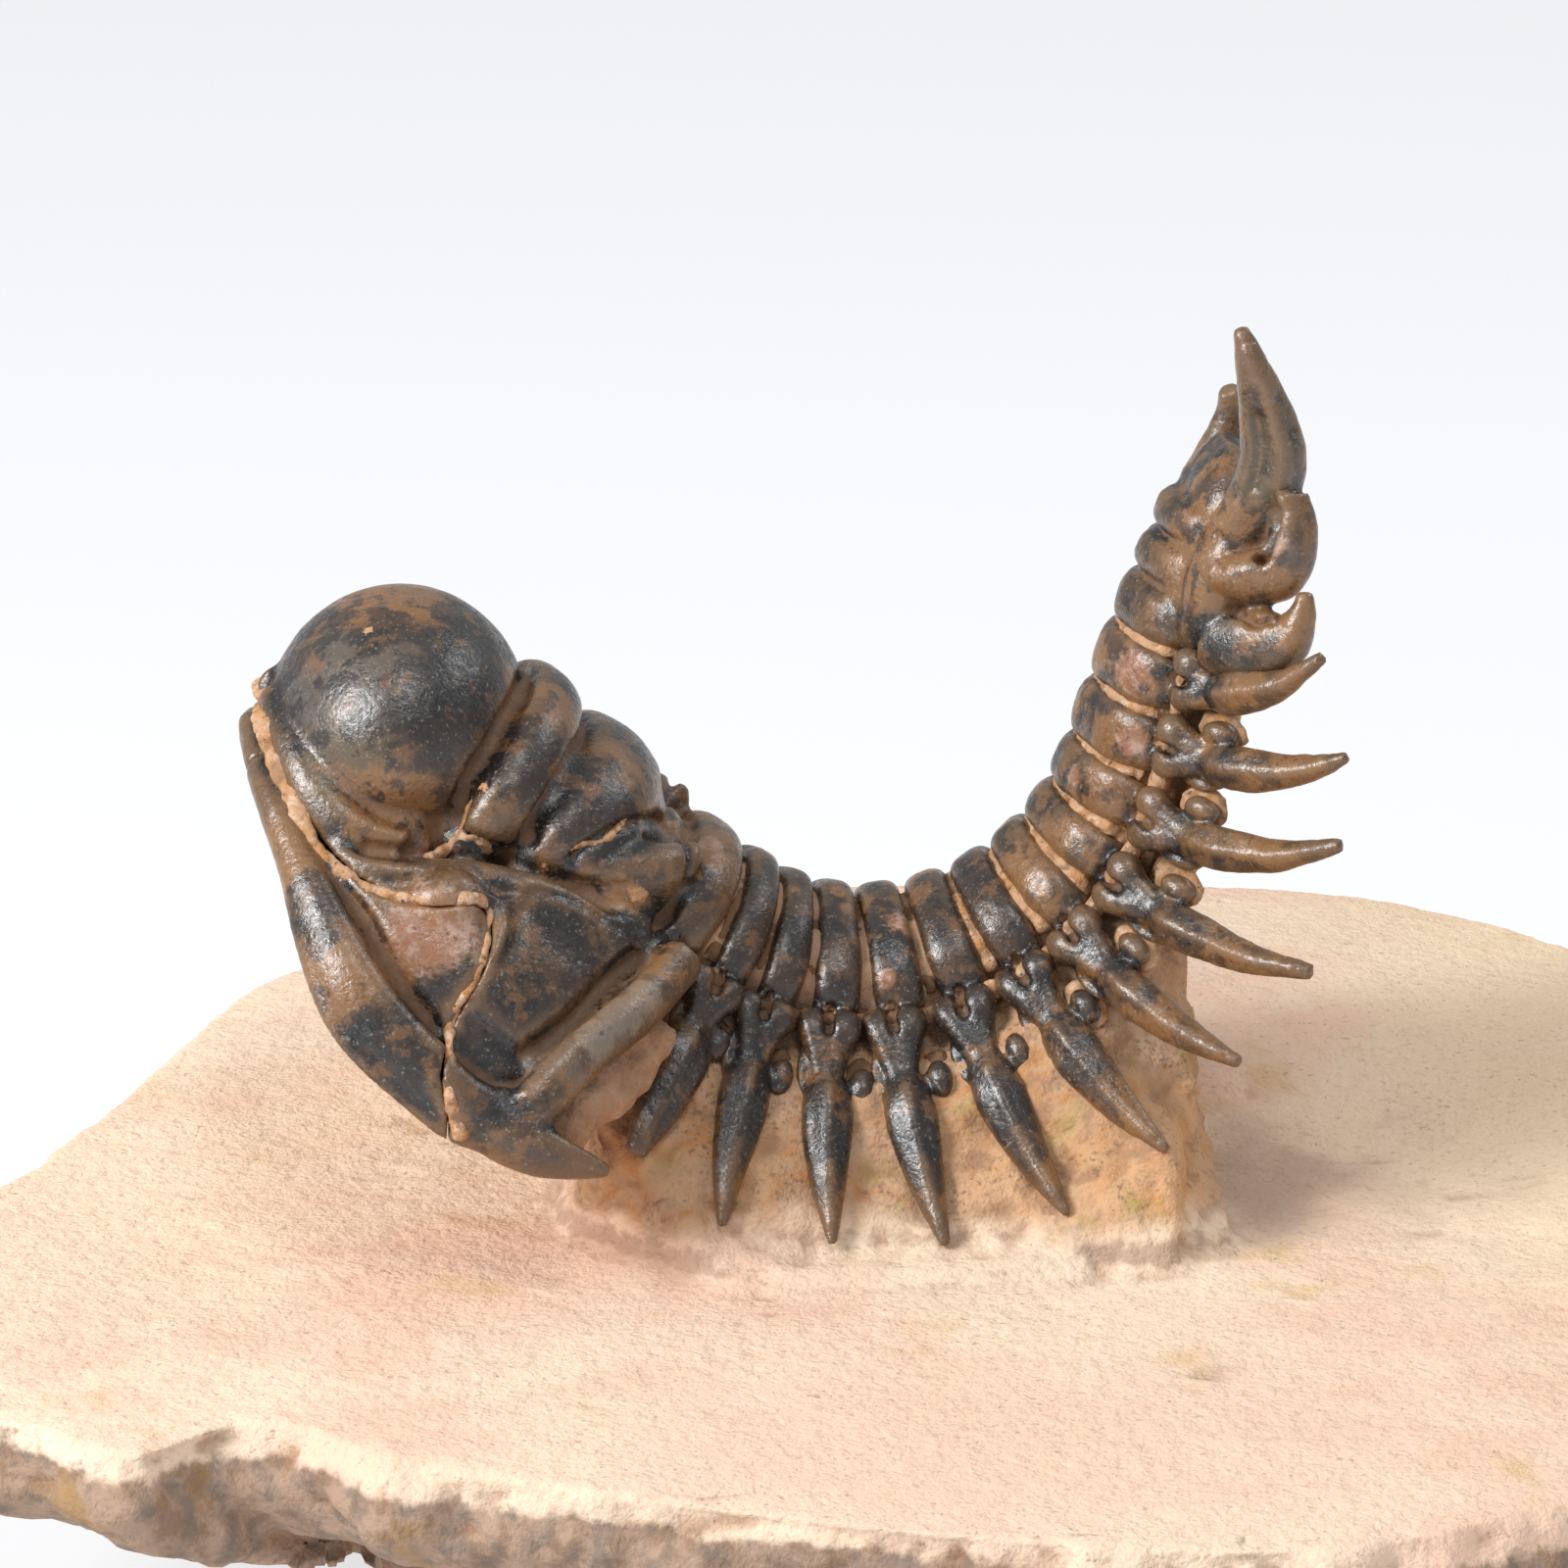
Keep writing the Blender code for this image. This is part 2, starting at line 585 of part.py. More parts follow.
def add_side_lobe(bm, station, index, side):
    """Two knobs beside the axis, a neck, and a spine that widens and then tapers."""
    free = index > LAST_RESTING_SPINE
    half = SPINE_THICKNESS / 2
    rear = station.rear
    axes = (rear, ACROSS, station.out)
    knob = lobe_point(station, index, side, *KNOB_SHARE, half)
    for offset, radius in ((-KNOB_SPREAD, FRONT_KNOB), (KNOB_SPREAD, REAR_KNOB)):
        add_ball(bm, knob + rear * offset, axes, (radius, 1.25, 0.95))
    bridge = station.at(SPINE_START[index - 1] / 2, (axis_half_width(index) - 0.3) * side, -0.5)
    add_sweep(bm, [bridge, knob], [1.25, 1.35], [0.75, 0.75], rear, 4)
    centres = [lobe_point(station, index, side, *SPINE_SHARES[0], half)]
    depths = [half * 0.8, half * 0.95, half * 1.1, half * 0.9, 0.2]
    for share, depth in zip(SPINE_SHARES[1:], (half, half, half * 0.8, 0.15)):
        centres.append(lobe_point(station, index, side, *share, depth))
    widths = [1.15, 0.95, 1.28, 0.85, 0.2]
    if free:
        widths = [1.15, 1.0, 1.1, 0.8, 0.28]
        depths = [half * 0.9, half, half * 1.15, half, 0.28]
    add_sweep(bm, centres, widths, depths, rear, 5)
    if index == THORAX_SEGMENTS:
        return
    # Small oval bead in the angle behind the neck
    pitch_here = station.back_pitch + math.radians(station.back_bend) * BEAD_HEIGHT
    bead = lobe_point(station, index, side, *BEAD_SHARE, half)
    bead = bead + rear * (pitch_here / 2 - 0.15)
    add_ball(bm, bead, axes, BEAD_RADII)
    link = lobe_point(station, index, side, 0.3, 0.22, SPINE_THICKNESS * 0.8)
    add_sweep(bm, [link, bead - station.out * 0.25], [0.5, 0.45], [0.5, 0.45], ACROSS, 3, 8)


def make_segment(stations, index, matrix_guide, material):
    bm = bmesh.new()
    station = stations[index]
    add_arch(bm, station, axis_half_width(index), axis_height(index), RING_DEPTH)
    for side in SIDES:
        add_side_lobe(bm, station, index, side)
    segment = clay_object("thoracic_segment_%02d" % index, bm, FOSSIL_VOXEL, 2)
    thin_out(segment, SEGMENT_TRIANGLES)
    boolean(segment, matrix_guide, "DIFFERENCE")
    keep_largest_body(segment)
    finish(segment, material)
    return segment


# Tail

def make_tail(stations, matrix_guide, last_segment, material):
    bm = bmesh.new()
    first = THORAX_SEGMENTS + 1
    for ring in range(TAIL_RINGS):
        index = first + ring
        station = stations[index]
        add_arch(bm, station, axis_half_width(index), axis_height(index), TAIL_RING_DEPTH)
        for side in SIDES:
            longest = TAIL_LONG if side < 0 else TAIL_LONG_BROKEN
            shape = (TAIL_HOOK, TAIL_STUMP, longest)[ring]
            wide_axis = station.rear if ring == 0 else station.out
            centres = []
            for along, beyond, out, _, _ in shape:
                across = (axis_half_width(index) + beyond) * side
                centres.append(station.at(along, across, out))
            widths = [row[3] for row in shape]
            depths = [row[4] for row in shape]
            add_sweep(bm, centres, widths, depths, wide_axis, 5)
    # Side fields, from the rings out to the spines
    middle = stations[first + 1]
    rear, beside, out = TAIL_FIELD
    for side in SIDES:
        axes = (middle.rear, ACROSS, middle.out)
        add_ball(bm, middle.at(rear, beside * side, out), axes, TAIL_FIELD_RADII)
    # Solid bed that joins the rings, and the blunt end of the axis
    bed = []
    for index in range(first, first + TAIL_RINGS):
        bed.append(stations[index].at(0.0, 0.0, 0.2))
    end = stations[first + TAIL_RINGS - 1]
    bed.append(end.at(2.2, 0.0, 0.2))
    bed.append(end.at(4.4, 0.0, -0.3))
    add_sweep(bm, bed, [4.6, 4.6, 4.4, 4.2, 3.0], [1.9, 1.8, 1.7, 1.5, 0.9], ACROSS, 4, 20)
    tail = clay_object("pygidium", bm, FOSSIL_VOXEL, 2)
    thin_out(tail, TAIL_TRIANGLES)
    boolean(tail, matrix_guide, "DIFFERENCE")
    neighbour = swollen_copy(last_segment, CLEARANCE)
    boolean(tail, neighbour, "DIFFERENCE")
    bpy.data.objects.remove(neighbour)
    keep_largest_body(tail)
    finish(tail, material)


# Matrix

def base_top(x, y):
    """Height of the block's upper face: a low swell to the rear, falling off to the rim."""
    swell = 3.2 * math.exp(-((x - 6.0) / 38.0) ** 2 - ((y - 24.0) / 20.0) ** 2)
    dip = 1.2 * math.exp(-((x - 34.0) / 12.0) ** 2 - ((y + 4.0) / 12.0) ** 2)
    return BASE_TOP + swell - dip


def add_base(bm):
    outline = [Vector((x, y, 0.0)) for x, y in BASE_OUTLINE]
    closed = outline + outline[:3]
    points = []
    steps = 4
    for i in range(len(outline) * steps):
        points.append(blend(closed, 1 + i / steps))
    rows = []
    for share, height in BASE_LEVELS:
        row = []
        for point in points:
            place = BASE_CENTRE.lerp(point, share)
            if height is None:
                place.z = base_top(place.x, place.y)
            else:
                place.z = height
                if height <= FOOT_TOP:
                    place.x = max(place.x, SAWN_FACE_X)
                else:
                    grain = noise.noise(place * RIM_GRAIN)
                    place += (point - BASE_CENTRE).normalized() * (RIM_ROUGHNESS * grain)
            row.append(place)
        rows.append(row)
    close_loft(bm, rows)


def pedestal_row(station, index):
    """Half section of the pedestal at a segment, from the crest down the flank to the foot."""
    width = axis_half_width(index)
    height = axis_height(index)
    row = [station.at(0.0, 0.0, height - CORE_INSET)]
    row.append(station.at(0.0, 0.7 * (width - CORE_INSET), 0.7 * (height - CORE_INSET)))
    row.append(station.at(0.0, width - 0.6, -1.6))
    for share in SPINE_SHARES[1:4]:
        row.append(lobe_point(station, index, 1, *share, SPINE_THICKNESS))
    tip = lobe_point(station, index, 1, 1.0, 1.0, 0.75)
    row.append(tip)
    flare = FOOT_FLARE - 2.4 * max(0, 2 - index)
    row.append(Vector((tip.x, tip.y + flare, FOOT_Z + 1.6)))
    row.append(Vector((tip.x, tip.y + 1.5 * flare, FOOT_Z)))
    row.append(Vector((tip.x, tip.y + 1.5 * flare, PEDESTAL_BOTTOM)))
    return row


def whole_row(half):
    """Mirror a half section, whose first point is on the midline, and close it below."""
    other = [Vector((p.x, -p.y, p.z)) for p in half[:0:-1]]
    return other + half


def add_pedestal(bm, stations):
    under_head = (
        (-9.8, 0.0, 32.0), (-10.0, 5.0, 32.0), (-10.4, 9.0, 31.0), (-10.8, 11.4, 29.5),
        (-11.0, 12.4, 28.0), (-11.3, 12.2, 26.4), (-11.6, 11.6, 24.6), (-12.2, 10.8, 22.6),
        (-13.4, 10.4, FOOT_Z), (-13.4, 10.4, PEDESTAL_BOTTOM),
    )
    rows = [[Vector(p) for p in under_head]]
    for index in range(1, LAST_RESTING_SPINE + 1):
        rows.append(pedestal_row(stations[index], index))
    behind_seventh = (
        (18.0, 0.0, 39.5), (18.3, 3.5, 39.0), (18.6, 5.6, 36.5), (19.0, 6.8, 33.5),
        (19.4, 8.4, 30.5), (19.8, 10.6, 27.5), (20.0, 12.4, 25.2), (20.3, 14.4, 23.0),
        (20.9, 17.0, FOOT_Z), (20.9, 17.0, PEDESTAL_BOTTOM),
    )
    cut_face = (
        (CUT_FACE_X, 0.0, 42.0), (CUT_FACE_X, 3.4, 41.0), (CUT_FACE_X, 4.8, 37.5),
        (CUT_FACE_X, 6.0, 33.5), (CUT_FACE_X, 7.6, 30.0), (CUT_FACE_X, 9.6, 27.0),
        (CUT_FACE_X + 0.1, 11.4, 25.0), (CUT_FACE_X + 0.6, 13.2, 22.8),
        (CUT_FACE_X + 1.8, 15.6, FOOT_Z), (CUT_FACE_X + 1.8, 15.6, PEDESTAL_BOTTOM),
    )
    for shape in (behind_seventh, cut_face):
        rows.append([Vector(p) for p in shape])
    close_loft(bm, [whole_row(row) for row in rows])


def add_trunk_core(bm, stations):
    """Matrix inside the arched body, out to the thin fin that carries the tail."""
    rows = []
    for index, station in enumerate(stations):
        width = axis_half_width(index) - CORE_INSET
        height = axis_height(index) - CORE_INSET
        depth = 3.6 if index < THORAX_SEGMENTS else 3.0
        row = []
        for step in range(9):
            angle = math.pi * step / 8
            row.append(station.at(0.0, -math.cos(angle) * width, math.sin(angle) * height))
        row.append(station.at(0.0, width * 0.9, -depth * 0.6))
        row.append(station.at(0.0, width * 0.55, -depth))
        row.append(station.at(0.0, -width * 0.55, -depth))
        row.append(station.at(0.0, -width * 0.9, -depth * 0.6))
        rows.append(row)
    close_loft(bm, rows)


def add_lobe_beds(bm, stations):
    """Matrix under the side lobes of the raised tail, out to their necks."""
    for side in SIDES:
        centres = []
        for index in range(LAST_RESTING_SPINE, THORAX_SEGMENTS + 1):
            centres.append(lobe_point(stations[index], index, side, 0.2, 0.2, 2.6))
        count = len(centres)
        add_sweep(bm, centres, [1.5] * count, [1.0] * count, ACROSS, 4)


def make_matrix(head, stations, material):
    bm = bmesh.new()
    add_base(bm)
    add_pedestal(bm, stations)
    add_trunk_core(bm, stations)
    add_lobe_beds(bm, stations)
    add_head_core(bm, head, SHELL, CORE_BELLY)
    matrix = clay_object("matrix_block", bm, MATRIX_VOXEL, 2)
    thin_out(matrix, MATRIX_TRIANGLES)
    flatten_underside(matrix)
    finish(matrix, material)
    return matrix


def flatten_underside(obj):
    """Cut the block level at the origin, so that it rests on one flat face."""
    bm = bmesh.new()
    bm.from_mesh(obj.data)
    geometry = list(bm.verts) + list(bm.edges) + list(bm.faces)
    up = Vector((0.0, 0.0, 1.0))
    bmesh.ops.bisect_plane(bm, geom=geometry, plane_co=(0, 0, 0), plane_no=up, clear_inner=True)
    rim = [edge for edge in bm.edges if edge.is_boundary]
    bmesh.ops.triangle_fill(bm, edges=rim, use_beauty=True)
    bmesh.ops.recalc_face_normals(bm, faces=bm.faces)
    bmesh.ops.triangulate(bm, faces=bm.faces)
    bm.to_mesh(obj.data)
    bm.free()


def main():
    for obj in list(bpy.data.objects):
        bpy.data.objects.remove(obj)
    stone = make_material("matrix stone", (0.72, 0.5, 0.34), 0.85)
    shell = make_material("fossil shell", (0.06, 0.045, 0.035), 0.4)
    stations = trunk_chain()
    head = Head()
    matrix = make_matrix(head, stations, stone)
    guide = swollen_copy(matrix, MATRIX_CLEARANCE)
    make_head(head, stations, guide, shell)
    for index in range(1, THORAX_SEGMENTS + 1):
        segment = make_segment(stations, index, guide, shell)
    make_tail(stations, guide, segment, shell)
    bpy.data.objects.remove(guide)


main()
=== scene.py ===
"""Finished surfaces and stage for the fossil trilobite on its block of matrix.

The animal faces -X with its back up and arched, its tail raised at +X. Lengths in the shape
code are in millimetres and angles in degrees until a mesh is made, in metres.
"""

import math

import bpy
import numpy as np
from mathutils import Matrix, Vector
from mathutils.bvhtree import BVHTree


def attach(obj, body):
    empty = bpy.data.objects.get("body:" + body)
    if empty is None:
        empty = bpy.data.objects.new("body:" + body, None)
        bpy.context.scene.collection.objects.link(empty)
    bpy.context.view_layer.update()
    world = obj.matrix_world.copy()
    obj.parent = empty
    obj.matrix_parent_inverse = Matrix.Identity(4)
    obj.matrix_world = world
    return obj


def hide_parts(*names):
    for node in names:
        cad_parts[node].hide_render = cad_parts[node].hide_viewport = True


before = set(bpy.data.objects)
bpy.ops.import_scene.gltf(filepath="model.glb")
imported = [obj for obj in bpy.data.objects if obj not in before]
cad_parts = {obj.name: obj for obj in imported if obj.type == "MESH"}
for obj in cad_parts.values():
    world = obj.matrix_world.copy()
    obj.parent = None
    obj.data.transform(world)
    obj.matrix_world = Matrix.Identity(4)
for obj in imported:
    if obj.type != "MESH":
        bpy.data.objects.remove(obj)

bl_info = {
    "name": "Trilobite on matrix",
    "version": (1, 0, 0),
    "blender": (4, 5, 0),
    "location": "View3D > Sidebar > Fossil",
    "description": "Builds a prepared spiny trilobite on its block of matrix, with a studio stage",
    "category": "Add Mesh",
}

MM = 0.001
SIDES = (-1, 1)
ACROSS = Vector((0.0, 1.0, 0.0))

# Trunk: the occipital ring, eleven thoracic segments and three rings of the tail
THORAX_SEGMENTS = 11
TAIL_RINGS = 3
OCCIPITAL_X = -5.7
OCCIPITAL_Z = 36.1
OCCIPITAL_SLOPE = -36.0
BENDS = (3.5, 11.0, 14.5, 14.0, 14.0, 13.5, 12.0, 12.5, 11.0, 4.5, -0.5, -2.5, 0.0, 1.0)
PITCHES = (2.7, 2.85, 3.2, 3.5, 3.55, 3.45, 3.4, 3.35, 3.2, 3.4, 3.4, 3.15, 2.8, 2.3)
AXIS_HALF_WIDTH = 7.4
AXIS_WIDTH_TAPER = 0.228
AXIS_HEIGHT = 5.1
AXIS_HEIGHT_TAPER = 0.168
RING_DEPTH = 1.9
RING_GAP = 0.12

# Side lobes of the thorax: reach beyond the axis, drop below it, and how far to the rear
# each tip and each root lies
SPINE_REACH = (6.8, 8.5, 9.1, 9.5, 9.5, 9.5, 9.6, 9.4, 9.1, 8.4, 7.1)
SPINE_DROP = (9.0, 10.1, 9.8, 10.0, 10.3, 10.0, 9.1, 9.6, 8.6, 7.9, 5.4)
SPINE_SWEEP = (-0.8, 0.1, 0.2, 0.2, 0.7, 1.0, 1.5, 2.1, 3.8, 4.1, 5.2)
SPINE_START = (-0.6, -0.6, -0.4, -0.6, -0.5, -0.5, -0.6, -0.6, -0.1, 0.5, 0.7)
LAST_RESTING_SPINE = 6
FLANK_OUT = Vector((0.0, 0.75, 0.66))
SPINE_THICKNESS = 1.5
BEAD_DEPTH = 2.2

# Head
HEAD_SLOPE = -44.0
FRONTAL_LOBE = Vector((18.45, 0.0, -2.4))
FRONTAL_RADII = (6.85, 9.3, 7.1)
SHELL = 1.9
# From the back of the cheek round to the middle of the front: forward, across, up
AXIAL_FURROW = (
    (0.2, 7.8, -0.6), (4.0, 8.6, -0.8), (8.0, 9.2, -1.4), (11.5, 9.6, -2.9),
    (14.5, 9.8, -5.0), (17.5, 9.2, -7.2), (21.0, 6.5, -8.0), (23.2, 0.0, -7.4),
)
BORDER_FURROW = (
    (2.0, 15.8, -7.8), (5.0, 16.8, -10.0), (9.0, 16.3, -10.0), (13.0, 14.9, -9.6),
    (15.9, 13.0, -9.0), (18.6, 10.8, -8.5), (21.7, 6.5, -8.0), (23.6, 0.0, -7.3),
)
MARGIN = (
    (0.8, 17.8, -10.0), (4.6, 19.2, -13.0), (9.8, 18.5, -13.6), (13.8, 17.0, -13.4),
    (17.2, 14.0, -11.9), (19.7, 10.5, -10.4), (22.7, 6.0, -9.0), (24.3, 0.0, -8.5),
)
# Side view of the suture that parts the free cheek from the middle of the head: forward, up
CHEEK_SUTURE = (
    (30.0, -6.4), (24.0, -6.8), (21.0, -7.7), (18.2, -8.0), (15.2, -7.3), (13.2, -5.9),
    (11.8, -4.5), (10.3, -4.7), (9.4, -6.2), (9.1, -8.2), (8.2, -10.8), (6.4, -12.2),
    (5.0, -14.0), (4.6, -20.0), (30.0, -20.0),
)
SUTURE_POINTS_ON_EDGE = 13
ROSTRAL_HALF_WIDTH = 4.6
SUTURE_GAP = 0.14

# Tail: each pair of spines, rear, beyond the axis, out, half width, half depth
TAIL_HOOK = (
    (0.2, 0.9, -0.9, 1.5, 1.2), (0.4, 1.9, -2.1, 1.8, 1.4), (1.1, 2.9, -3.2, 1.85, 1.4),
    (1.9, 3.9, -4.0, 1.5, 1.2), (3.3, 4.4, -4.3, 0.85, 0.8), (4.7, 4.4, -4.0, 0.4, 0.4),
)
TAIL_STUMP = (
    (0.6, 0.9, -0.4, 1.5, 1.2), (1.5, 2.3, -2.0, 1.7, 1.3), (2.6, 2.9, -2.9, 1.5, 1.3),
    (4.4, 2.9, -2.8, 1.3, 1.2), (6.2, 2.4, -2.1, 0.9, 0.9),
)
TAIL_LONG = (
    (0.7, 0.8, -0.5, 1.6, 1.2), (2.9, 1.3, -1.0, 1.8, 1.4), (5.2, 1.8, -0.9, 1.75, 1.3),
    (7.4, 2.1, 0.3, 1.45, 1.1), (9.4, 2.3, 1.7, 0.95, 0.85), (11.4, 2.3, 3.2, 0.35, 0.35),
)
TAIL_LONG_BROKEN = (
    (0.7, 0.8, -0.5, 1.6, 1.2), (2.9, 1.2, -1.0, 1.6, 1.3), (4.7, 1.1, -0.7, 1.1, 0.9),
    (6.2, 0.8, 0.0, 0.5, 0.5),
)

# Block of matrix
BASE_TOP = 21.5
BASE_RIM = 18.3
FOOT_TOP = 12.0
SAWN_FACE_X = -23.0
CUT_FACE_X = 21.0
FOOT_Z = 20.5
ROOT_Z = 14.0
FOOT_FLARE = 2.6
FLANK_DEPTH = 0.85
FLANK_SHARES = ((0.34, 0.25), (0.54, 0.42), (0.77, 0.72))
BASE_CENTRE = (3.0, -3.0)
BASE_OUTLINE = (
    (-55, -19), (-50, -29), (-41, -33), (-35, -37), (-29, -34), (-21, -40), (-12, -44), (4, -50),
    (20, -53), (33, -49), (45, -41), (54, -29), (58, -11), (57, 9), (53, 26), (44, 39), (28, 45),
    (5, 45), (-14, 39), (-28, 30), (-36, 13), (-43, 0), (-52, -9),
)
# Matrix left in the corner between the cheek and the first spine: forward, across, up
CORNER_BED = ((-0.4, 10.5, -3.4), (0.0, 13.0, -6.0), (0.7, 15.3, -8.4), (0.9, 16.7, -10.2))

# Remesh size of each kind of piece, and the most triangles that the block keeps
HEAD_VOXEL = 0.21
SEGMENT_VOXEL = 0.16
TAIL_VOXEL = 0.18
MATRIX_VOXEL = 0.42
FILM_VOXEL = 0.16
BLOCK_TRIANGLES = 190000

# Rounds of smoothing, and the depth at which a hollow counts in full
SHELL_HOLLOWS = (24, 0.25)
BLOCK_HOLLOWS = (10, 0.35)
FILM_HOLLOWS = (16, 0.2)

# Names of the masks that the finishes read
SHELL_MARKS = ("grey", "olive", "brown", "ink", "rose", "glaze", "matrix_skin")
ROCK_ZONES = ("rim", "flank", "hollow", "blush", "straw", "gold", "foot", "bed")

# First seed of the unevenness of each kind of piece, and of the markings of the segments
HEAD_SEED = 40
SEGMENT_SEED = 60
TAIL_SEED = 90
FILM_SEED = 120
MARKING_SEED = 200


class Station:
    """A place on the midline: tangent to the rear, y across, normal away from the belly."""

    def __init__(self, x, z, slope):
        turn = math.radians(slope)
        self.origin = Vector((x, 0.0, z))
        self.slope = slope
        self.rear = Vector((math.cos(turn), 0.0, math.sin(turn)))
        self.out = Vector((-math.sin(turn), 0.0, math.cos(turn)))
        self.front_pitch = 0.0
        self.back_pitch = 0.0
        self.front_bend = 0.0
        self.back_bend = 0.0

    def at(self, rear, across, out):
        return self.origin + self.rear * rear + ACROSS * across + self.out * out

    def limits(self, out):
        """How far a ring may run to the front and to the back at a height above the hinge."""
        front = self.front_pitch / 2 - out * math.tan(math.radians(self.front_bend / 2))
        back = self.back_pitch / 2 - out * math.tan(math.radians(self.back_bend / 2))
        return RING_GAP / 2 - front, back - RING_GAP / 2


class Head:
    """The head's own axes: forward, across and up from the neck."""

    def __init__(self):
        self.frame = Station(OCCIPITAL_X, OCCIPITAL_Z, HEAD_SLOPE)
        self.forward = -self.frame.rear
        self.up = self.frame.out
        self.axes = (self.forward, ACROSS, self.up)

    def at(self, forward, across, up):
        return self.frame.at(-forward, across, up)


def trunk_chain():
    """Stations from the neck to the last ring, each turned by its bend from the one before."""
    stations = [Station(OCCIPITAL_X, OCCIPITAL_Z, OCCIPITAL_SLOPE)]
    for bend, pitch in zip(BENDS, PITCHES):
        last = stations[-1]
        chord = math.radians(last.slope + bend / 2)
        x = last.origin.x + pitch * math.cos(chord)
        z = last.origin.z + pitch * math.sin(chord)
        station = Station(x, z, last.slope + bend)
        station.front_pitch = pitch
        station.front_bend = bend
        last.back_pitch = pitch
        last.back_bend = bend
        stations.append(station)
    stations[-1].back_pitch = stations[-1].front_pitch
    return stations


STATIONS = trunk_chain()
HEAD = Head()


def axis_half_width(index):
    return AXIS_HALF_WIDTH - AXIS_WIDTH_TAPER * index


def axis_height(index):
    return AXIS_HEIGHT - AXIS_HEIGHT_TAPER * index


def blend(values, place):
    """A smooth curve through the values, read at a place counted in values."""
    last = len(values) - 1
    start = min(int(place), last - 1)
    t = place - start
    p0 = values[max(start - 1, 0)]
    p1 = values[start]
    p2 = values[start + 1]
    p3 = values[min(start + 2, last)]
    a = p2 - p0
    b = p0 * 2 - p1 * 5 + p2 * 4 - p3
    c = p1 * 3 - p0 - p2 * 3 + p3
    return p1 + (a * t + b * (t * t) + c * (t * t * t)) * 0.5


def half_ellipse(half_width, height, stops):
    """Points over the back from one side to the other: across and out."""
    angles = [math.pi * stop / stops for stop in range(stops + 1)]
    return [(-math.cos(angle) * half_width, math.sin(angle) * height) for angle in angles]


def smooth_rows(rows, along, around):
    """More rows and more points in each, on smooth curves through the given ones."""
    grid = np.array([[tuple(point) for point in row] for row in rows])
    finer = []
    for step in range((len(rows) - 1) * along + 1):
        finer.append(blend(grid, step / along))
    grid = np.array(finer)
    if around == 1:
        return grid
    columns = []
    closed = np.concatenate([grid[:, -1:], grid, grid[:, :2]], axis=1).transpose(1, 0, 2)
    for step in range(len(rows[0]) * around):
        columns.append(blend(closed, 1 + step / around))
    return np.array(columns).transpose(1, 0, 2)


# Clay: overlapping closed shapes that a remesh presses into one body


def deselect_all():
    bpy.ops.object.select_all(action="DESELECT")


def select_only(obj):
    deselect_all()
    obj.select_set(True)
    bpy.context.view_layer.objects.active = obj


def points_of(obj):
    points = np.zeros(len(obj.data.vertices) * 3, np.float32)
    obj.data.vertices.foreach_get("co", points)
    return points.reshape(-1, 3).astype(float)


def place_points(obj, points):
    obj.data.vertices.foreach_set("co", np.ascontiguousarray(points, np.float32).ravel())
    obj.data.update()


def normals_of(obj):
    normals = np.zeros(len(obj.data.vertices) * 3, np.float32)
    obj.data.vertex_normals.foreach_get("vector", normals)
    return normals.reshape(-1, 3).astype(float)


def push_out(obj, points, push):
    """Move the points, given in millimetres, along their normals."""
    place_points(obj, (points + normals_of(obj) * push[:, None]) * MM)


def add_loft(clay, rows):
    """A ball whose rings are laid on the rows of points: a closed tube with rounded ends."""
    rows = np.asarray(rows, float)
    count, sides = rows.shape[:2]
    deselect_all()
    bpy.ops.mesh.primitive_uv_sphere_add(segments=sides, ring_count=count + 1, radius=1.0)
    tube = bpy.context.active_object
    unit = points_of(tube)
    ring = np.rint(np.arccos(np.clip(unit[:, 2], -1, 1)) * (count + 1) / math.pi).astype(int)
    turn = np.rint(np.arctan2(unit[:, 1], unit[:, 0]) * sides / math.tau).astype(int) % sides
    middle = rows.mean(1)
    placed = rows[np.clip(ring - 1, 0, count - 1), turn]
    placed[ring == 0] = middle[0]
    placed[ring == count + 1] = middle[-1]
    place_points(tube, placed * MM)
    clay.append(tube)


def add_ball(clay, centre, axes, radii):
    deselect_all()
    bpy.ops.mesh.primitive_ico_sphere_add(subdivisions=5, radius=1.0)
    ball = bpy.context.active_object
    spread = np.array([tuple(axis * radius) for axis, radius in zip(axes, radii)])
    place_points(ball, (np.array(centre) + points_of(ball) @ spread) * MM)
    clay.append(ball)


def add_sweep(clay, centres, widths, depths, wide_axis, steps=8, sides=24, squareness=2.3):
    """A tube through the centres: half widths along wide_axis, half depths across it."""
    rows = []
    angles = np.arange(sides) * math.tau / sides
    c = np.copysign(np.abs(np.cos(angles)) ** (2 / squareness), np.cos(angles))
    s = np.copysign(np.abs(np.sin(angles)) ** (2 / squareness), np.sin(angles))
    for step in range((len(centres) - 1) * steps + 1):
        place = step / steps
        ahead = blend(centres, min(place + 0.05, len(centres) - 1))
        behind = blend(centres, max(place - 0.05, 0))
        along = (ahead - behind).normalized()
        wide = (wide_axis - along * wide_axis.dot(along)).normalized()
        deep = wide.cross(along)
        half_width = max(blend(widths, place), 0.05)
        half_depth = max(blend(depths, place), 0.05)
        offset = np.outer(c * half_width, wide) + np.outer(s * half_depth, deep)
        rows.append(np.array(blend(centres, place)) + offset)
    add_loft(clay, rows)


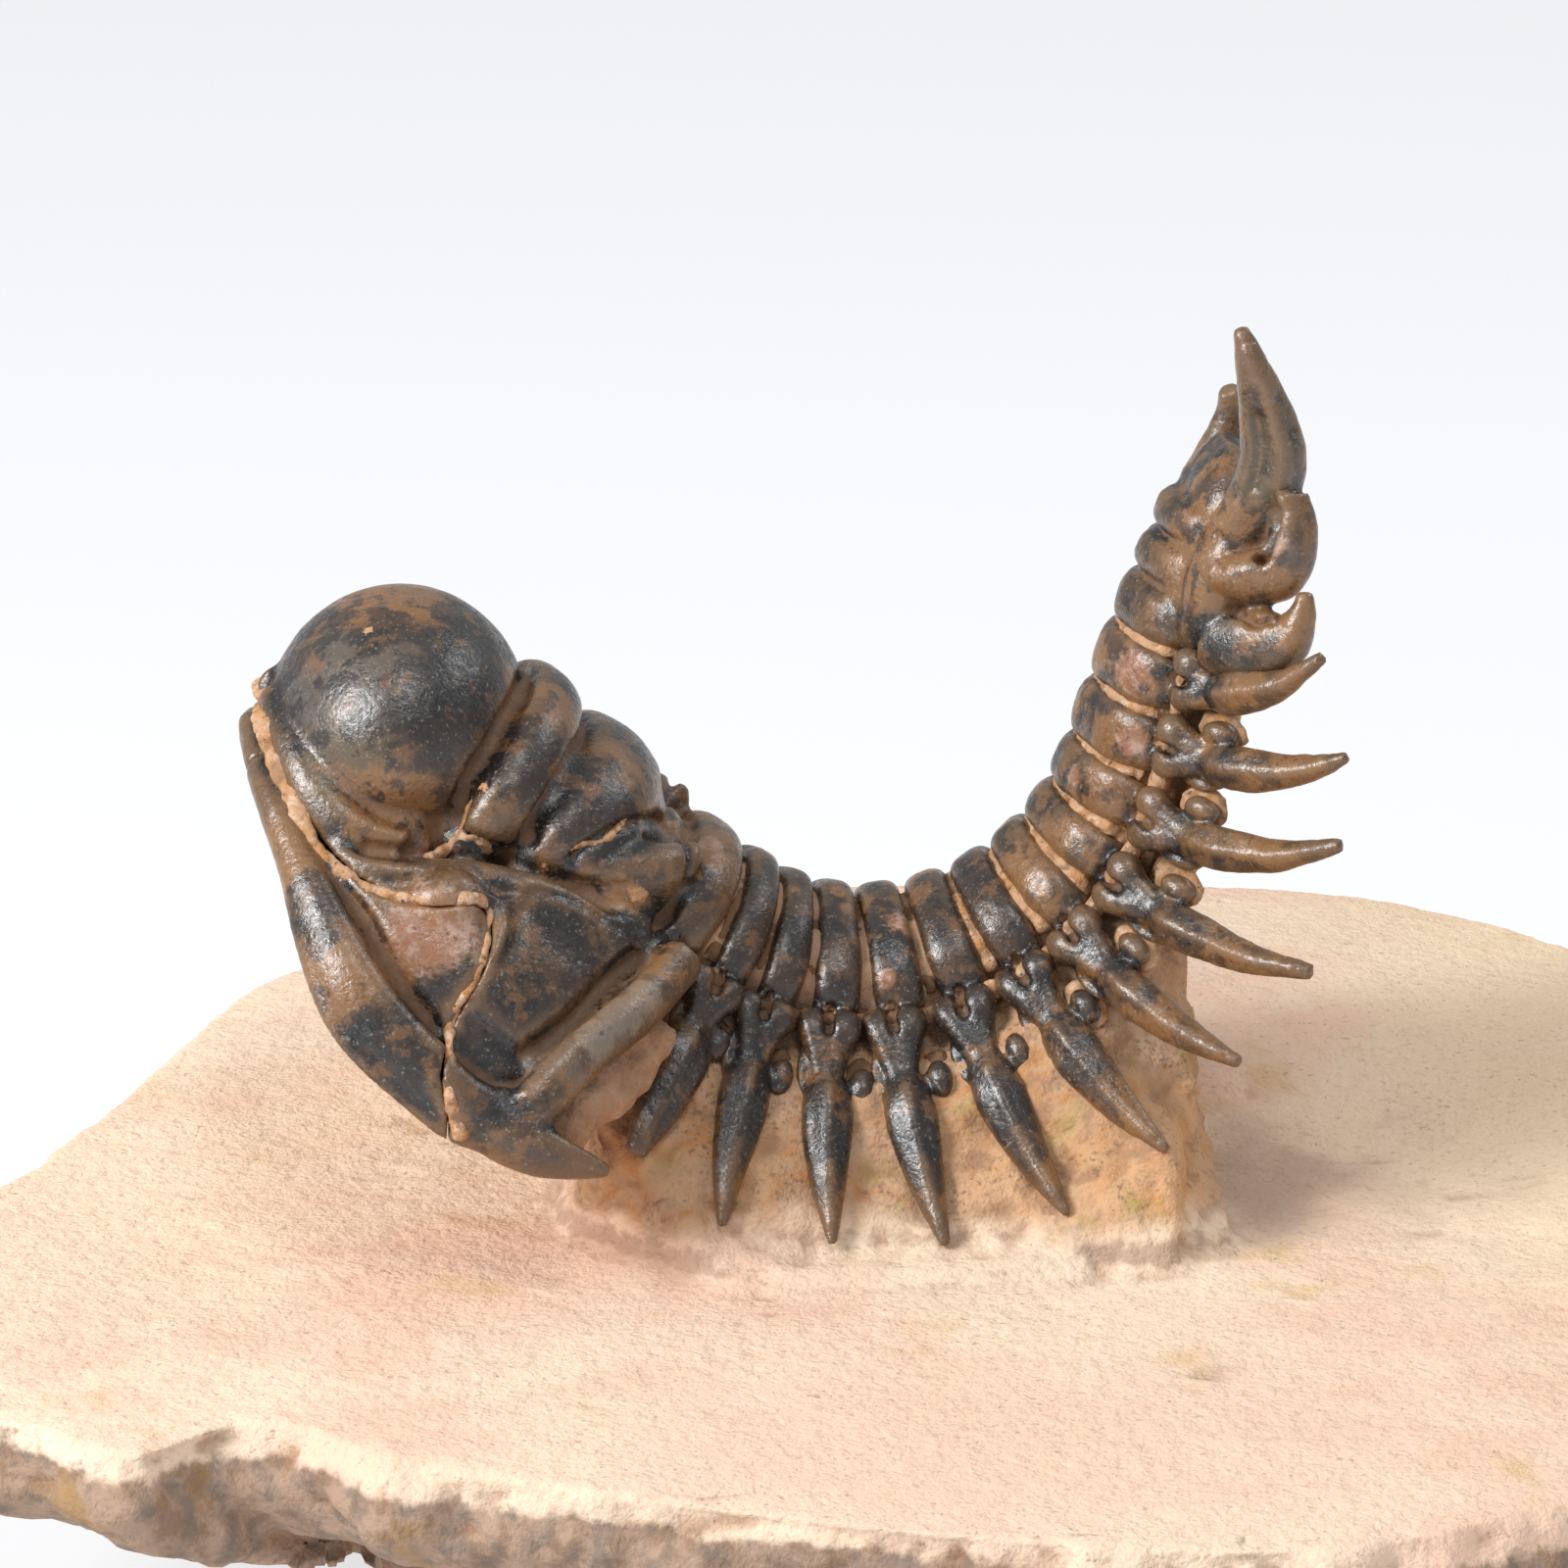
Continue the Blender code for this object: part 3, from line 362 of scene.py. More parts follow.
def add_arch(clay, station, half_width, height, depth, foot_drop, squareness=2.8):
    """An axial ring: a half ellipse over the back, its length set by the neighbours."""
    stops = 24
    centres = []
    widths = []
    path = half_ellipse(half_width - depth / 2, height - depth / 2, stops)
    for stop, (across, out) in enumerate(path):
        if stop in (0, stops):
            out -= foot_drop
        front, back = station.limits(out + depth / 2)
        peak = 0.22 * math.exp(-(((stop - stops / 2) / 2.2) ** 2))
        foot = max(1 - min(stop, stops - stop) / 4, 0.0)
        centres.append(station.at((front + back) / 2, across, out + peak))
        widths.append((back - front) / 2 * (1 - 0.16 * foot))
    depths = [depth / 2] * (stops + 1)
    add_sweep(clay, centres, widths, depths, station.rear, 3, 32, squareness)


def apply(obj, kind, **settings):
    """Put one modifier on the object and apply it."""
    select_only(obj)
    modifier = obj.modifiers.new("Work", kind)
    for name, value in settings.items():
        setattr(modifier, name, value)
    bpy.ops.object.modifier_apply(modifier=modifier.name)


def skin_over(obj, voxel, smoothing):
    apply(obj, "REMESH", mode="VOXEL", voxel_size=voxel * MM)
    apply(obj, "SMOOTH", factor=0.5, iterations=smoothing)


def press(clay, name, voxel, smoothing):
    """Join the clay into one object and remesh it into one closed skin."""
    deselect_all()
    for shape in clay:
        shape.select_set(True)
    bpy.context.view_layer.objects.active = clay[0]
    bpy.ops.object.join()
    obj = bpy.context.active_object
    obj.name = name
    obj.data.name = name
    skin_over(obj, voxel, smoothing)
    return obj


def triangles_in(obj):
    return sum(len(face.vertices) - 2 for face in obj.data.polygons)


def thin_out(obj, triangles):
    count = triangles_in(obj)
    if count > triangles:
        apply(obj, "DECIMATE", ratio=triangles / count)


def keep_largest_body(obj):
    """Drop the crumbs that a cut leaves."""
    select_only(obj)
    bpy.ops.object.mode_set(mode="EDIT")
    bpy.ops.mesh.separate(type="LOOSE")
    bpy.ops.object.mode_set(mode="OBJECT")
    parts = sorted(bpy.context.selected_objects, key=lambda part: len(part.data.vertices))
    name = obj.name
    for part in parts[:-1]:
        bpy.data.objects.remove(part)
    parts[-1].name = name
    return parts[-1]


# Carving by code


def distance_to_line(points, line):
    """Distance of each point from a chain of straight stretches, and how far along it is."""
    best = np.full(len(points), 1e9)
    share = np.zeros(len(points))
    line = np.array([tuple(point) for point in line])
    for i, (start, end) in enumerate(zip(line, line[1:])):
        run = end - start
        t = np.clip((points - start) @ run / max(run @ run, 1e-12), 0, 1)
        far = np.linalg.norm(points - start - t[:, None] * run, axis=1)
        nearer = far < best
        best[nearer] = far[nearer]
        share[nearer] = (i + t[nearer]) / (len(line) - 1)
    return best, share


def smooth_line(points):
    steps = 6
    count = (len(points) - 1) * steps
    return [blend(points, step / steps) for step in range(count + 1)]


def snapped(obj, line):
    """The line's points moved to the nearest place on the surface."""
    tree = BVHTree.FromObject(obj, bpy.context.evaluated_depsgraph_get())
    return [tree.find_nearest(point * MM)[0] / MM for point in line]


def carve(obj, line, width, depth):
    """A groove of that half width and depth along a line on the surface, or a ridge if depth
    is below zero. It fades out at both ends."""
    line = snapped(obj, smooth_line(line))
    points = points_of(obj) / MM
    near, share = distance_to_line(points, line)
    fade = np.clip(np.minimum(share, 1 - share) * 8 + 0.35, 0, 1)
    push_out(obj, points, -depth * np.exp(-((near / width) ** 2)) * fade)


class NoiseField:
    """Smooth noise from a table of seeded numbers, between -1 and 1."""

    SIZE = 32

    def __init__(self, seed):
        self.table = np.random.default_rng(seed).uniform(-1, 1, (self.SIZE,) * 3)

    def read(self, points, scale):
        spot = points / scale
        cell = np.floor(spot).astype(int)
        t = spot - cell
        t = t * t * (3 - 2 * t)
        total = np.zeros(len(points))
        for corner in range(8):
            step = np.array([corner & 1, corner >> 1 & 1, corner >> 2])
            weight = np.prod(np.where(step == 1, t, 1 - t), axis=1)
            at = (cell + step) % self.SIZE
            total += weight * self.table[at[:, 0], at[:, 1], at[:, 2]]
        return total

    def layers(self, points, scale, count):
        total = np.zeros(len(points))
        for layer in range(count):
            total += self.read(points + 17.3 * layer, scale / 2**layer) / 2**layer
        return total


def roughen(obj, seed, scale, amount, layers):
    """Push the surface in and out by noise of that size."""
    points = points_of(obj) / MM
    push_out(obj, points, NoiseField(seed).layers(points, scale, layers) * amount)


def mark_cavities(obj, rounds, reach):
    """Store how far each point lies below its smoothed surroundings, as a share of reach."""
    edges = np.zeros(len(obj.data.edges) * 2, np.int32)
    obj.data.edges.foreach_get("vertices", edges)
    a, b = edges.reshape(-1, 2).T
    points = points_of(obj) / MM
    count = len(points)
    links = np.bincount(a, minlength=count) + np.bincount(b, minlength=count)
    links = np.maximum(links, 1)[:, None]
    soft = points.copy()
    for _ in range(rounds):
        total = np.stack([
            np.bincount(a, soft[b, axis], count) + np.bincount(b, soft[a, axis], count)
            for axis in range(3)
        ], axis=1)
        soft = total / links
    depth = np.einsum("ij,ij->i", soft - points, normals_of(obj))
    store(obj, "cavity", np.clip(depth / reach, -1, 1))


def store(obj, name, values):
    attribute = obj.data.attributes.get(name) or obj.data.attributes.new(name, "FLOAT", "POINT")
    attribute.data.foreach_set("value", np.ascontiguousarray(values, np.float32))


def spots(points, places):
    """A soft mask round each place: point, radius and strength."""
    mask = np.zeros(len(points))
    for centre, radius, strength in places:
        near = np.linalg.norm(points - np.array(tuple(centre)), axis=1)
        mask = np.maximum(mask, strength * np.clip(1.6 - near / radius * 1.1, 0, 1))
    return mask


def mark(obj, marks):
    """Store each kind of marking as soft spots: place, radius and strength."""
    points = points_of(obj) / MM
    for name in SHELL_MARKS:
        places = [row[1:] for row in marks if row[0] == name]
        store(obj, name, spots(points, places))


def finish_piece(obj, material, node):
    select_only(obj)
    bpy.ops.object.shade_smooth()
    obj.data.materials.clear()
    obj.data.materials.append(material)
    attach(obj, "root")
    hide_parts(node)


def shell_wear():
    """Height of the shell's worn unevenness, in millimetres."""
    return bpy.context.scene.fossil_shell.wear / MM


# Head


def head_curve(points, side):
    return [HEAD.at(forward, across * side, up) for forward, across, up in points]


def shield_row(axial, border, margin, heart, inset):
    """One closed section: over the cheek, round the border and back under the shield."""
    middle = (axial + border) / 2
    bulge = (middle - heart).normalized() * ((axial - border).length * 0.16)
    roll = (border + margin) / 2
    swell = (roll - heart).normalized() * 0.5
    under = margin.lerp(heart, 0.16)
    points = [axial, axial.lerp(border, 0.25) + bulge * 0.75, middle + bulge]
    points += [axial.lerp(border, 0.75) + bulge * 0.75, border, roll + swell, margin, under]
    return [p + (heart - p).normalized() * inset for p in points] + [heart]


def add_shield(clay, inset, belly):
    """The domed shield from one cheek round the front to the other, filled to the belly."""
    steps = 8
    last = len(MARGIN) - 1
    rows = []
    for side in SIDES:
        furrow = head_curve(AXIAL_FURROW, side)
        border = head_curve(BORDER_FURROW, side)
        margin = head_curve(MARGIN, side)
        half = []
        for step in range(last * steps + (side == SIDES[0])):
            place = step / steps
            a = blend(furrow, place)
            f = blend(border, place)
            m = blend(margin, place)
            heart = HEAD.at(3.0 + 13.0 * place / last, 0.0, belly)
            half.append(shield_row(a, f, m, heart, inset))
        rows += half if side == SIDES[0] else half[::-1]
    add_loft(clay, smooth_rows(rows, 1, 5))


def add_glabella(clay, inset):
    """The lobed middle of the head behind the frontal lobe: two barrels and a waist."""
    rows = []
    # forward, half width, crest, height of the middle
    sections = (
        (2.2, 5.6, 3.4, 0.0), (4.0, 5.8, 3.9, 0.0), (5.2, 6.8, 4.2, 0.0), (6.3, 8.2, 5.0, 0.0),
        (8.0, 8.9, 5.35, -0.1), (9.9, 8.8, 5.0, -0.4), (11.0, 8.1, 4.1, -0.7),
        (11.9, 8.8, 4.9, -0.9), (13.2, 9.2, 5.2, -1.3), (14.5, 9.0, 4.9, -1.8),
        (15.3, 8.2, 4.0, -2.2), (17.0, 7.5, 3.4, -2.4),
    )
    sides = 64
    for forward, half_width, crest, middle in sections:
        row = []
        for i in range(sides):
            angle = math.tau * i / sides
            across = (half_width - inset) * math.cos(angle)
            up = middle + (crest - middle - inset) * math.sin(angle)
            lean = -0.14 * max(4.0 - up, 0.0) * min(max((forward - 10.0) / 5.0, 0.0), 1.0)
            lean += 0.42 * min(max(3.5 - up, 0.0), 4.0) * min(max((8.0 - forward) / 2.5, 0.0), 1.0)
            row.append(HEAD.at(forward + lean, across, max(up, -6.0)))
        rows.append(row)
    add_loft(clay, smooth_rows(rows, 6, 1))


def add_head_core(clay, inset, belly):
    add_shield(clay, inset, belly)
    add_glabella(clay, inset)
    radii = [radius - inset for radius in FRONTAL_RADII]
    add_ball(clay, HEAD.at(*FRONTAL_LOBE), HEAD.axes, radii)


def add_head_details(clay):
    """Neck ring, borders, spines, side lobes and eyes."""
    occipital = STATIONS[0]
    ring_centres = []
    for stop in range(13):
        angle = math.pi * stop / 12
        across = -math.cos(angle) * (AXIS_HALF_WIDTH - 0.9)
        out = math.sin(angle) * (AXIS_HEIGHT - 0.9)
        ring_centres.append(occipital.at(-0.75 + 0.25 * math.sin(angle), across, out))
    add_sweep(clay, ring_centres, [1.5] * 13, [1.0] * 13, occipital.rear, 4, 32, 2.4)
    for side in SIDES:
        # Triangular side lobe beside the neck
        beside_neck = ((7.9, 8.3, -0.3), (5.9, 7.5, 0.7), (3.9, 6.5, 1.7), (3.0, 4.4, 3.5))
        lobe_centres = head_curve(beside_neck, side)
        add_sweep(clay, lobe_centres, [0.6, 1.5, 2.1, 1.2], [0.7, 1.3, 1.5, 0.9], HEAD.up, 12)
        # Shoulder between the neck ring, that lobe and the rear border
        add_ball(clay, HEAD.at(4.0, 7.5 * side, -1.6), HEAD.axes, (3.8, 2.6, 2.1))
        # Raised rear border, from the axis out to the corner
        rear = ((0.5, 9.0, -0.1), (1.4, 12.7, -2.8), (2.8, 16.2, -6.3), (3.2, 18.4, -9.5))
        add_sweep(clay, head_curve(rear, side), [1.25, 1.35, 1.35, 1.3], [1.1, 1.2, 1.2, 1.0],
                  HEAD.forward, 12)
        # Rolled side border round to the front
        border = head_curve(BORDER_FURROW, side)
        roll = [(a + b) / 2 for a, b in zip(border, head_curve(MARGIN, side))]
        add_sweep(clay, roll, [1.6, 1.75, 1.85, 1.9, 1.5, 1.15, 0.85, 0.7],
                  [1.1, 1.25, 1.3, 1.3, 1.1, 0.95, 0.8, 0.75], HEAD.up, 12)
        # Short spine at the corner, pointing back
        corner = ((4.8, 17.8, -11.3), (2.6, 18.7, -10.9), (0.6, 19.2, -10.1), (-1.8, 19.2, -8.9))
        add_sweep(clay, head_curve(corner, side), [1.8, 1.6, 1.15, 0.35], [1.3, 1.1, 0.8, 0.35],
                  HEAD.up, 10)
        # Eye and the lobe above it
        add_ball(clay, HEAD.at(12.1, 11.9 * side, -5.9), HEAD.axes, (2.3, 2.1, 2.3))
        add_ball(clay, HEAD.at(9.9, 10.9 * side, -4.6), HEAD.axes, (0.9, 1.5, 2.6))
        # Shell in the angle under the frontal lobe
        angle = ((24.2, 1.0, -5.6), (22.6, 5.0, -6.1), (20.2, 7.6, -6.7), (17.6, 9.0, -6.6),
                 (15.4, 9.4, -5.2))
        add_sweep(clay, head_curve(angle, side), [1.0, 1.2, 1.4, 1.4, 0.9],
                  [1.0, 1.2, 1.3, 1.3, 0.9], HEAD.up, 10)
        add_ball(clay, HEAD.at(15.6, 8.0 * side, -5.4), HEAD.axes, (1.7, 1.4, 1.5))
        # Curved ridge under the frontal lobe
        under_lobe = ((18.6, 9.4, -7.5), (17.4, 10.6, -7.4), (16.1, 11.3, -6.8),
                      (14.8, 11.4, -5.8), (13.9, 11.1, -4.6))
        add_sweep(clay, head_curve(under_lobe, side), [0.3, 0.5, 0.6, 0.6, 0.4],
                  [0.3, 0.5, 0.6, 0.6, 0.4], HEAD.up, 10)


def suture_tool(near, far, side, grow):
    """A prism over the side view of a suture, from near to far across the head."""
    middle = np.array((17.0, -13.0))
    outline = [np.array(point) for point in CHEEK_SUTURE]
    curve = [blend(outline[:SUTURE_POINTS_ON_EDGE], i / 6)
             for i in range((SUTURE_POINTS_ON_EDGE - 1) * 6 + 1)]
    curve += outline[SUTURE_POINTS_ON_EDGE:]
    rows = []
    for across in (near - grow, far):
        row = []
        for point in curve:
            away = point - middle
            forward, up = point + away / np.linalg.norm(away) * grow
            row.append(HEAD.at(forward, across * side, up))
        rows.append(row)
    deselect_all()
    bpy.ops.mesh.primitive_cylinder_add(vertices=len(curve), radius=1.0, depth=2.0)
    tool = bpy.context.active_object
    unit = points_of(tool)
    turn = np.rint(np.arctan2(unit[:, 0], unit[:, 1]) * len(curve) / math.tau).astype(int)
    grid = np.array([[tuple(p) for p in row] for row in rows])
    place_points(tool, grid[(unit[:, 2] > 0).astype(int), turn % len(curve)] * MM)
    bpy.ops.object.mode_set(mode="EDIT")
    bpy.ops.mesh.select_all(action="SELECT")
    bpy.ops.mesh.normals_make_consistent(inside=False)
    bpy.ops.object.mode_set(mode="OBJECT")
    return tool


def copy_of(obj, name):
    twin = obj.copy()
    twin.data = obj.data.copy()
    twin.name = name
    bpy.context.scene.collection.objects.link(twin)
    return twin


def cut(obj, tool, operation):
    apply(obj, "BOOLEAN", operation=operation, solver="MANIFOLD", object=tool)
    bpy.data.objects.remove(tool)


# Furrows as forward, across, up; their half width and depth. A depth below zero is a ridge.
HEAD_FURROWS = (
    # between the frontal lobe and the first barrel
    (((15.0, 0.0, 4.2), (15.4, 4.5, 3.0), (15.3, 6.6, 1.5), (15.2, 7.7, -0.2), (14.8, 8.2, -1.7),
      (14.3, 8.4, -3.2)), 0.38, 0.75),
    # between the two barrels
    (((10.9, 0.0, 4.1), (11.3, 4.5, 3.7), (11.3, 6.6, 2.7), (11.3, 7.6, 1.6), (11.1, 8.3, 0.4),
      (10.8, 8.6, -1.0)), 0.36, 0.8),
    # round the front of the triangular lobe beside the neck
    (((8.4, 8.9, -0.4), (8.4, 8.8, 0.6), (7.9, 8.2, 2.0), (7.0, 6.9, 3.1), (5.4, 4.0, 3.6),
      (4.3, 2.0, 3.7)), 0.3, 0.65),
    # below both barrels and that lobe
    (((14.3, 8.6, -3.3), (12.9, 8.8, -2.9), (11.6, 8.8, -2.6), (10.2, 9.0, -2.2), (8.8, 9.1, -1.5),
      (7.5, 9.0, -1.1), (6.2, 9.2, -0.6), (4.9, 9.4, -0.3)), 0.42, 0.7),
    # thin line below the eye ridge
    (((11.2, 12.1, -3.6), (9.2, 11.2, -2.2), (7.5, 10.7, -1.4), (6.3, 10.6, -1.1),
      (4.0, 10.2, -0.8), (2.6, 9.4, -0.4)), 0.2, 0.3),
    # cracks over the triangular lobe
    (((5.9, 9.0, 0.2), (5.2, 8.6, 1.2), (4.4, 8.2, 2.2), (3.5, 7.5, 3.3)), 0.13, 0.16),
    # behind it, in front of the neck ring
    (((4.4, 0.0, 4.3), (4.1, 3.5, 4.0), (3.3, 6.6, 3.4), (2.5, 6.8, 2.0), (2.2, 7.2, 0.7),
      (2.5, 8.8, 0.0)), 0.32, 0.6),
    # in front of the raised rear border
    (((2.6, 10.0, -0.9), (2.9, 11.0, -1.6), (3.5, 12.6, -3.1), (4.0, 14.6, -4.9),
      (4.5, 15.8, -6.5), (4.9, 16.3, -7.7)), 0.5, 1.0),
    # under the fixed cheek, out to the suture
    (((8.6, 16.0, -8.4), (6.9, 16.4, -8.2), (5.3, 16.5, -8.1), (4.7, 16.4, -7.8)), 0.4, 0.35),
    # inside the wide side border
    (((18.0, 11.3, -8.4), (15.5, 13.1, -8.6), (14.2, 14.1, -9.0), (12.7, 15.0, -9.3),
      (11.3, 15.5, -9.6), (9.7, 16.1, -9.8), (8.9, 16.4, -10.0)), 0.36, 0.5),
    # under the frontal lobe
    (((17.4, 8.9, -7.0), (16.5, 9.6, -6.7), (15.6, 9.9, -6.0), (14.7, 9.7, -5.0)), 0.4, 0.5),
    # crescent rim above the eye, and the groove inside it
    (((11.3, 12.2, -3.4), (10.3, 12.4, -3.9), (9.6, 13.2, -4.5), (9.3, 14.3, -5.4),
      (9.2, 14.8, -6.3)), 0.32, -0.35),
    (((10.3, 11.4, -2.9), (9.4, 11.9, -3.3), (8.8, 12.9, -4.0), (8.5, 14.0, -5.0)), 0.3, 0.25),
)
# Films of matrix left on the head: forward, across, up, then half width. They are laid at a
# share of that width.
FILM_SHARE = 0.7
SUTURE_FILM = (
    (25.2, 0.0, -6.4, 1.0), (24.6, 3.2, -6.4, 1.05), (23.4, 5.6, -6.8, 1.0),
    (21.9, 7.9, -7.4, 0.9), (20.4, 9.4, -7.9, 0.75), (18.9, 10.6, -8.1, 0.62),
    (17.3, 11.8, -8.0, 0.55), (16.0, 12.3, -7.7, 0.52), (15.1, 12.6, -7.1, 0.5),
    (13.5, 12.9, -6.1, 0.45), (12.1, 12.9, -4.8, 0.4), (11.0, 12.4, -4.4, 0.38),
    (10.2, 13.0, -4.8, 0.38), (9.6, 14.3, -5.9, 0.4), (9.3, 15.2, -7.0, 0.4),
    (9.15, 15.8, -8.2, 0.4), (8.85, 16.5, -9.3, 0.42), (8.3, 17.8, -10.5, 0.45),
    (7.2, 18.9, -11.3, 0.52), (5.9, 19.3, -12.1, 0.62), (4.9, 19.3, -12.8, 0.6),
)
POCKET_FILM = (
    (14.9, 8.1, -1.2, 0.16), (14.3, 8.5, -3.0, 0.34), (13.8, 8.9, -4.2, 0.5),
    (14.2, 10.4, -5.0, 0.38),
)
POCKET_BRANCH = ((14.0, 8.6, -3.4, 0.4), (12.8, 8.9, -2.9, 0.3), (11.7, 8.7, -2.7, 0.25))
LOBE_FILM = (
    (8.5, 8.9, 0.0, 0.12), (8.4, 8.8, 0.7, 0.2), (7.9, 8.2, 2.0, 0.17), (7.0, 6.9, 3.1, 0.1),
)


def seam_lines():
    for line in (SUTURE_FILM, POCKET_FILM, POCKET_BRANCH, LOBE_FILM):
        for side in SIDES:
            yield [(HEAD.at(f, across * side, up), half) for f, across, up, half in line]


def film_path(surface, line):
    """The film's centres laid on the surface, with the half width at each."""
    centres = snapped(surface, [point for point, _ in line])
    return centres, [half * FILM_SHARE for _, half in line]


def add_film(clay, centres, widths, sink):
    """A flat strip of matrix whose top lies a little under the surface it follows."""
    middle = Vector(HEAD.at(10.0, 0.0, -8.0))
    inward = [(middle - centre).normalized() for centre in centres]
    sunk = [centre + way * sink for centre, way in zip(centres, inward)]
    along = sunk[-1] - sunk[0]
    wide_axis = along.cross(inward[len(inward) // 2])
    add_sweep(clay, sunk, widths, [0.32] * len(widths), wide_axis, 10, 16)


# Markings as kind, forward, across, up, radius, strength; alike on both sides
HEAD_MARKS = (
    ("grey", 22.5, 5.5, -1.0, 4.4, 0.9), ("olive", 20.5, 8.0, -4.4, 3.0, 0.9),
    ("grey", 14.3, 6.5, 3.0, 2.5, 0.6), ("grey", 9.0, 6.0, 4.5, 2.5, 0.6),
    ("brown", 24.0, 1.4, 3.0, 3.6, 1.0), ("brown", 17.0, 8.5, -4.6, 3.2, 0.9),
    ("brown", 14.3, 3.9, 4.3, 2.4, 0.9), ("brown", 9.3, 4.5, 4.4, 2.0, 0.9),
    ("brown", 2.5, 2.3, 4.0, 2.6, 0.9), ("brown", 1.8, 11.0, -0.5, 1.6, 1.0),
    ("brown", 19.9, 11.2, -9.7, 2.5, 1.0), ("brown", 5.0, 8.5, 1.0, 1.8, 0.7),
    ("olive", 9.0, 13.6, -4.5, 1.8, 0.7), ("brown", 5.5, 13.5, -4.2, 1.8, 0.8),
    ("olive", 19.1, 7.8, -6.1, 2.2, 0.8), ("grey", 12.7, 14.4, -7.2, 2.6, 1.0),
    ("rose", 12.6, 14.0, -6.6, 2.4, 1.0), ("rose", 2.4, 3.0, 4.6, 1.0, 0.9),
    ("rose", 17.6, 8.4, -5.8, 1.0, 0.8), ("rose", 14.0, 9.6, -4.6, 1.2, 0.9),
    # Pale streak along the rear border ridge: a painted highlight that stands in for the
    # reflection of the lights
    ("glaze", 1.8, 13.4, -2.0, 1.2, 1.0), ("glaze", 2.4, 14.8, -3.4, 1.3, 1.1),
    ("glaze", 3.0, 16.2, -4.9, 1.2, 1.0), ("brown", 13.4, 14.2, -7.4, 2.6, 1.0),
    ("brown", 14.5, 16.0, -11.0, 3.5, 0.7), ("grey", 3.0, 16.0, -7.0, 2.5, 0.8),
    ("ink", 13.3, 7.0, 1.6, 3.0, 0.75), ("ink", 9.2, 7.6, 2.6, 3.4, 0.75),
    ("ink", 6.5, 12.6, -3.6, 2.8, 0.7), ("ink", 19.5, 7.0, 1.4, 3.0, 0.7),
    ("ink", 11.0, 18.2, -12.0, 3.0, 0.6), ("ink", 17.5, 13.2, -10.2, 2.4, 0.6),
    ("ink", 4.4, 17.6, -10.4, 2.2, 0.7), ("ink", 23.2, 4.4, 1.6, 2.4, 0.75),
    ("ink", 3.4, 10.0, -1.0, 1.4, 0.7),
    ("matrix_skin", 4.6, 8.5, 0.7, 0.55, 1.0), ("matrix_skin", 23.7, 4.1, 0.9, 0.3, 1.0),
    ("matrix_skin", 14.3, 8.2, -0.5, 0.45, 0.8), ("matrix_skin", 19.1, 7.8, -6.1, 0.35, 0.9),
    ("matrix_skin", 9.2, 9.1, -1.5, 0.5, 0.7),
)


def make_head(material):
    """One head, cut along the sutures into four plates; gives the paths of their films."""
    clay = []
    add_head_core(clay, 0.0, -8.6)
    add_head_details(clay)
    whole = press(clay, "fossil_cranidium", HEAD_VOXEL, 2)
    for line, width, depth in HEAD_FURROWS:
        for side in SIDES:
            carve(whole, head_curve(line, side), width, depth)
    films = [film_path(whole, line) for line in seam_lines()]
    pieces = [(whole, "cranidium")]
    for name, side in (("free_cheek_left", -1), ("free_cheek_right", 1)):
        piece = copy_of(whole, "fossil_" + name)
        cut(piece, suture_tool(ROSTRAL_HALF_WIDTH, 30.0, side, 0.0), "INTERSECT")
        pieces.append((piece, name))
    rostral = copy_of(whole, "fossil_rostral_plate")
    half = ROSTRAL_HALF_WIDTH - SUTURE_GAP
    cut(rostral, suture_tool(-half, half, 1, 0.0), "INTERSECT")
    pieces.append((rostral, "rostral_plate"))
    cut(whole, suture_tool(-30.0, 30.0, 1, SUTURE_GAP), "DIFFERENCE")
    marks = [(kind, HEAD.at(f, y * side, u), radius, strength)
             for kind, f, y, u, radius, strength in HEAD_MARKS for side in SIDES]
    for number, (piece, name) in enumerate(pieces):
        piece = keep_largest_body(piece)
        skin_over(piece, HEAD_VOXEL, 2)
        roughen(piece, HEAD_SEED + number, scale=2.6, amount=shell_wear(), layers=4)
        mark_cavities(piece, *SHELL_HOLLOWS)
        mark(piece, marks)
        finish_piece(piece, material, name)
    return films


# Thorax


def spine_surface(station, index, side, share_out, share_down):
    """A point on the outer face of a segment's side lobe."""
    start = SPINE_START[index - 1]
    along = start + (SPINE_SWEEP[index - 1] - start) * share_out**3
    across = axis_half_width(index) + SPINE_REACH[index - 1] * share_out
    return station.at(along, across * side, -SPINE_DROP[index - 1] * share_down)


def lobe_point(station, index, side, share_out, share_down, depth):
    """The same point, moved in under the surface."""
    inward = ACROSS * (FLANK_OUT.y * side) + station.out * FLANK_OUT.z
    return spine_surface(station, index, side, share_out, share_down) - inward * depth


def flank_axes(station, index, side):
    """Axes of the flank beside a segment's neck: rear, down the spine, and outwards."""
    top = lobe_point(station, index, side, 0.3, 0.2, 0.0)
    low = lobe_point(station, index, side, 0.5, 0.4, 0.0)
    down = (low - top).normalized()
    rear = (station.rear - down * station.rear.dot(down)).normalized()
    return rear, down, down.cross(rear)


def bead_pitch(station):
    """Distance to the next segment, at the depth of the beads below the hinge."""
    return station.back_pitch + math.radians(station.back_bend) * BEAD_DEPTH


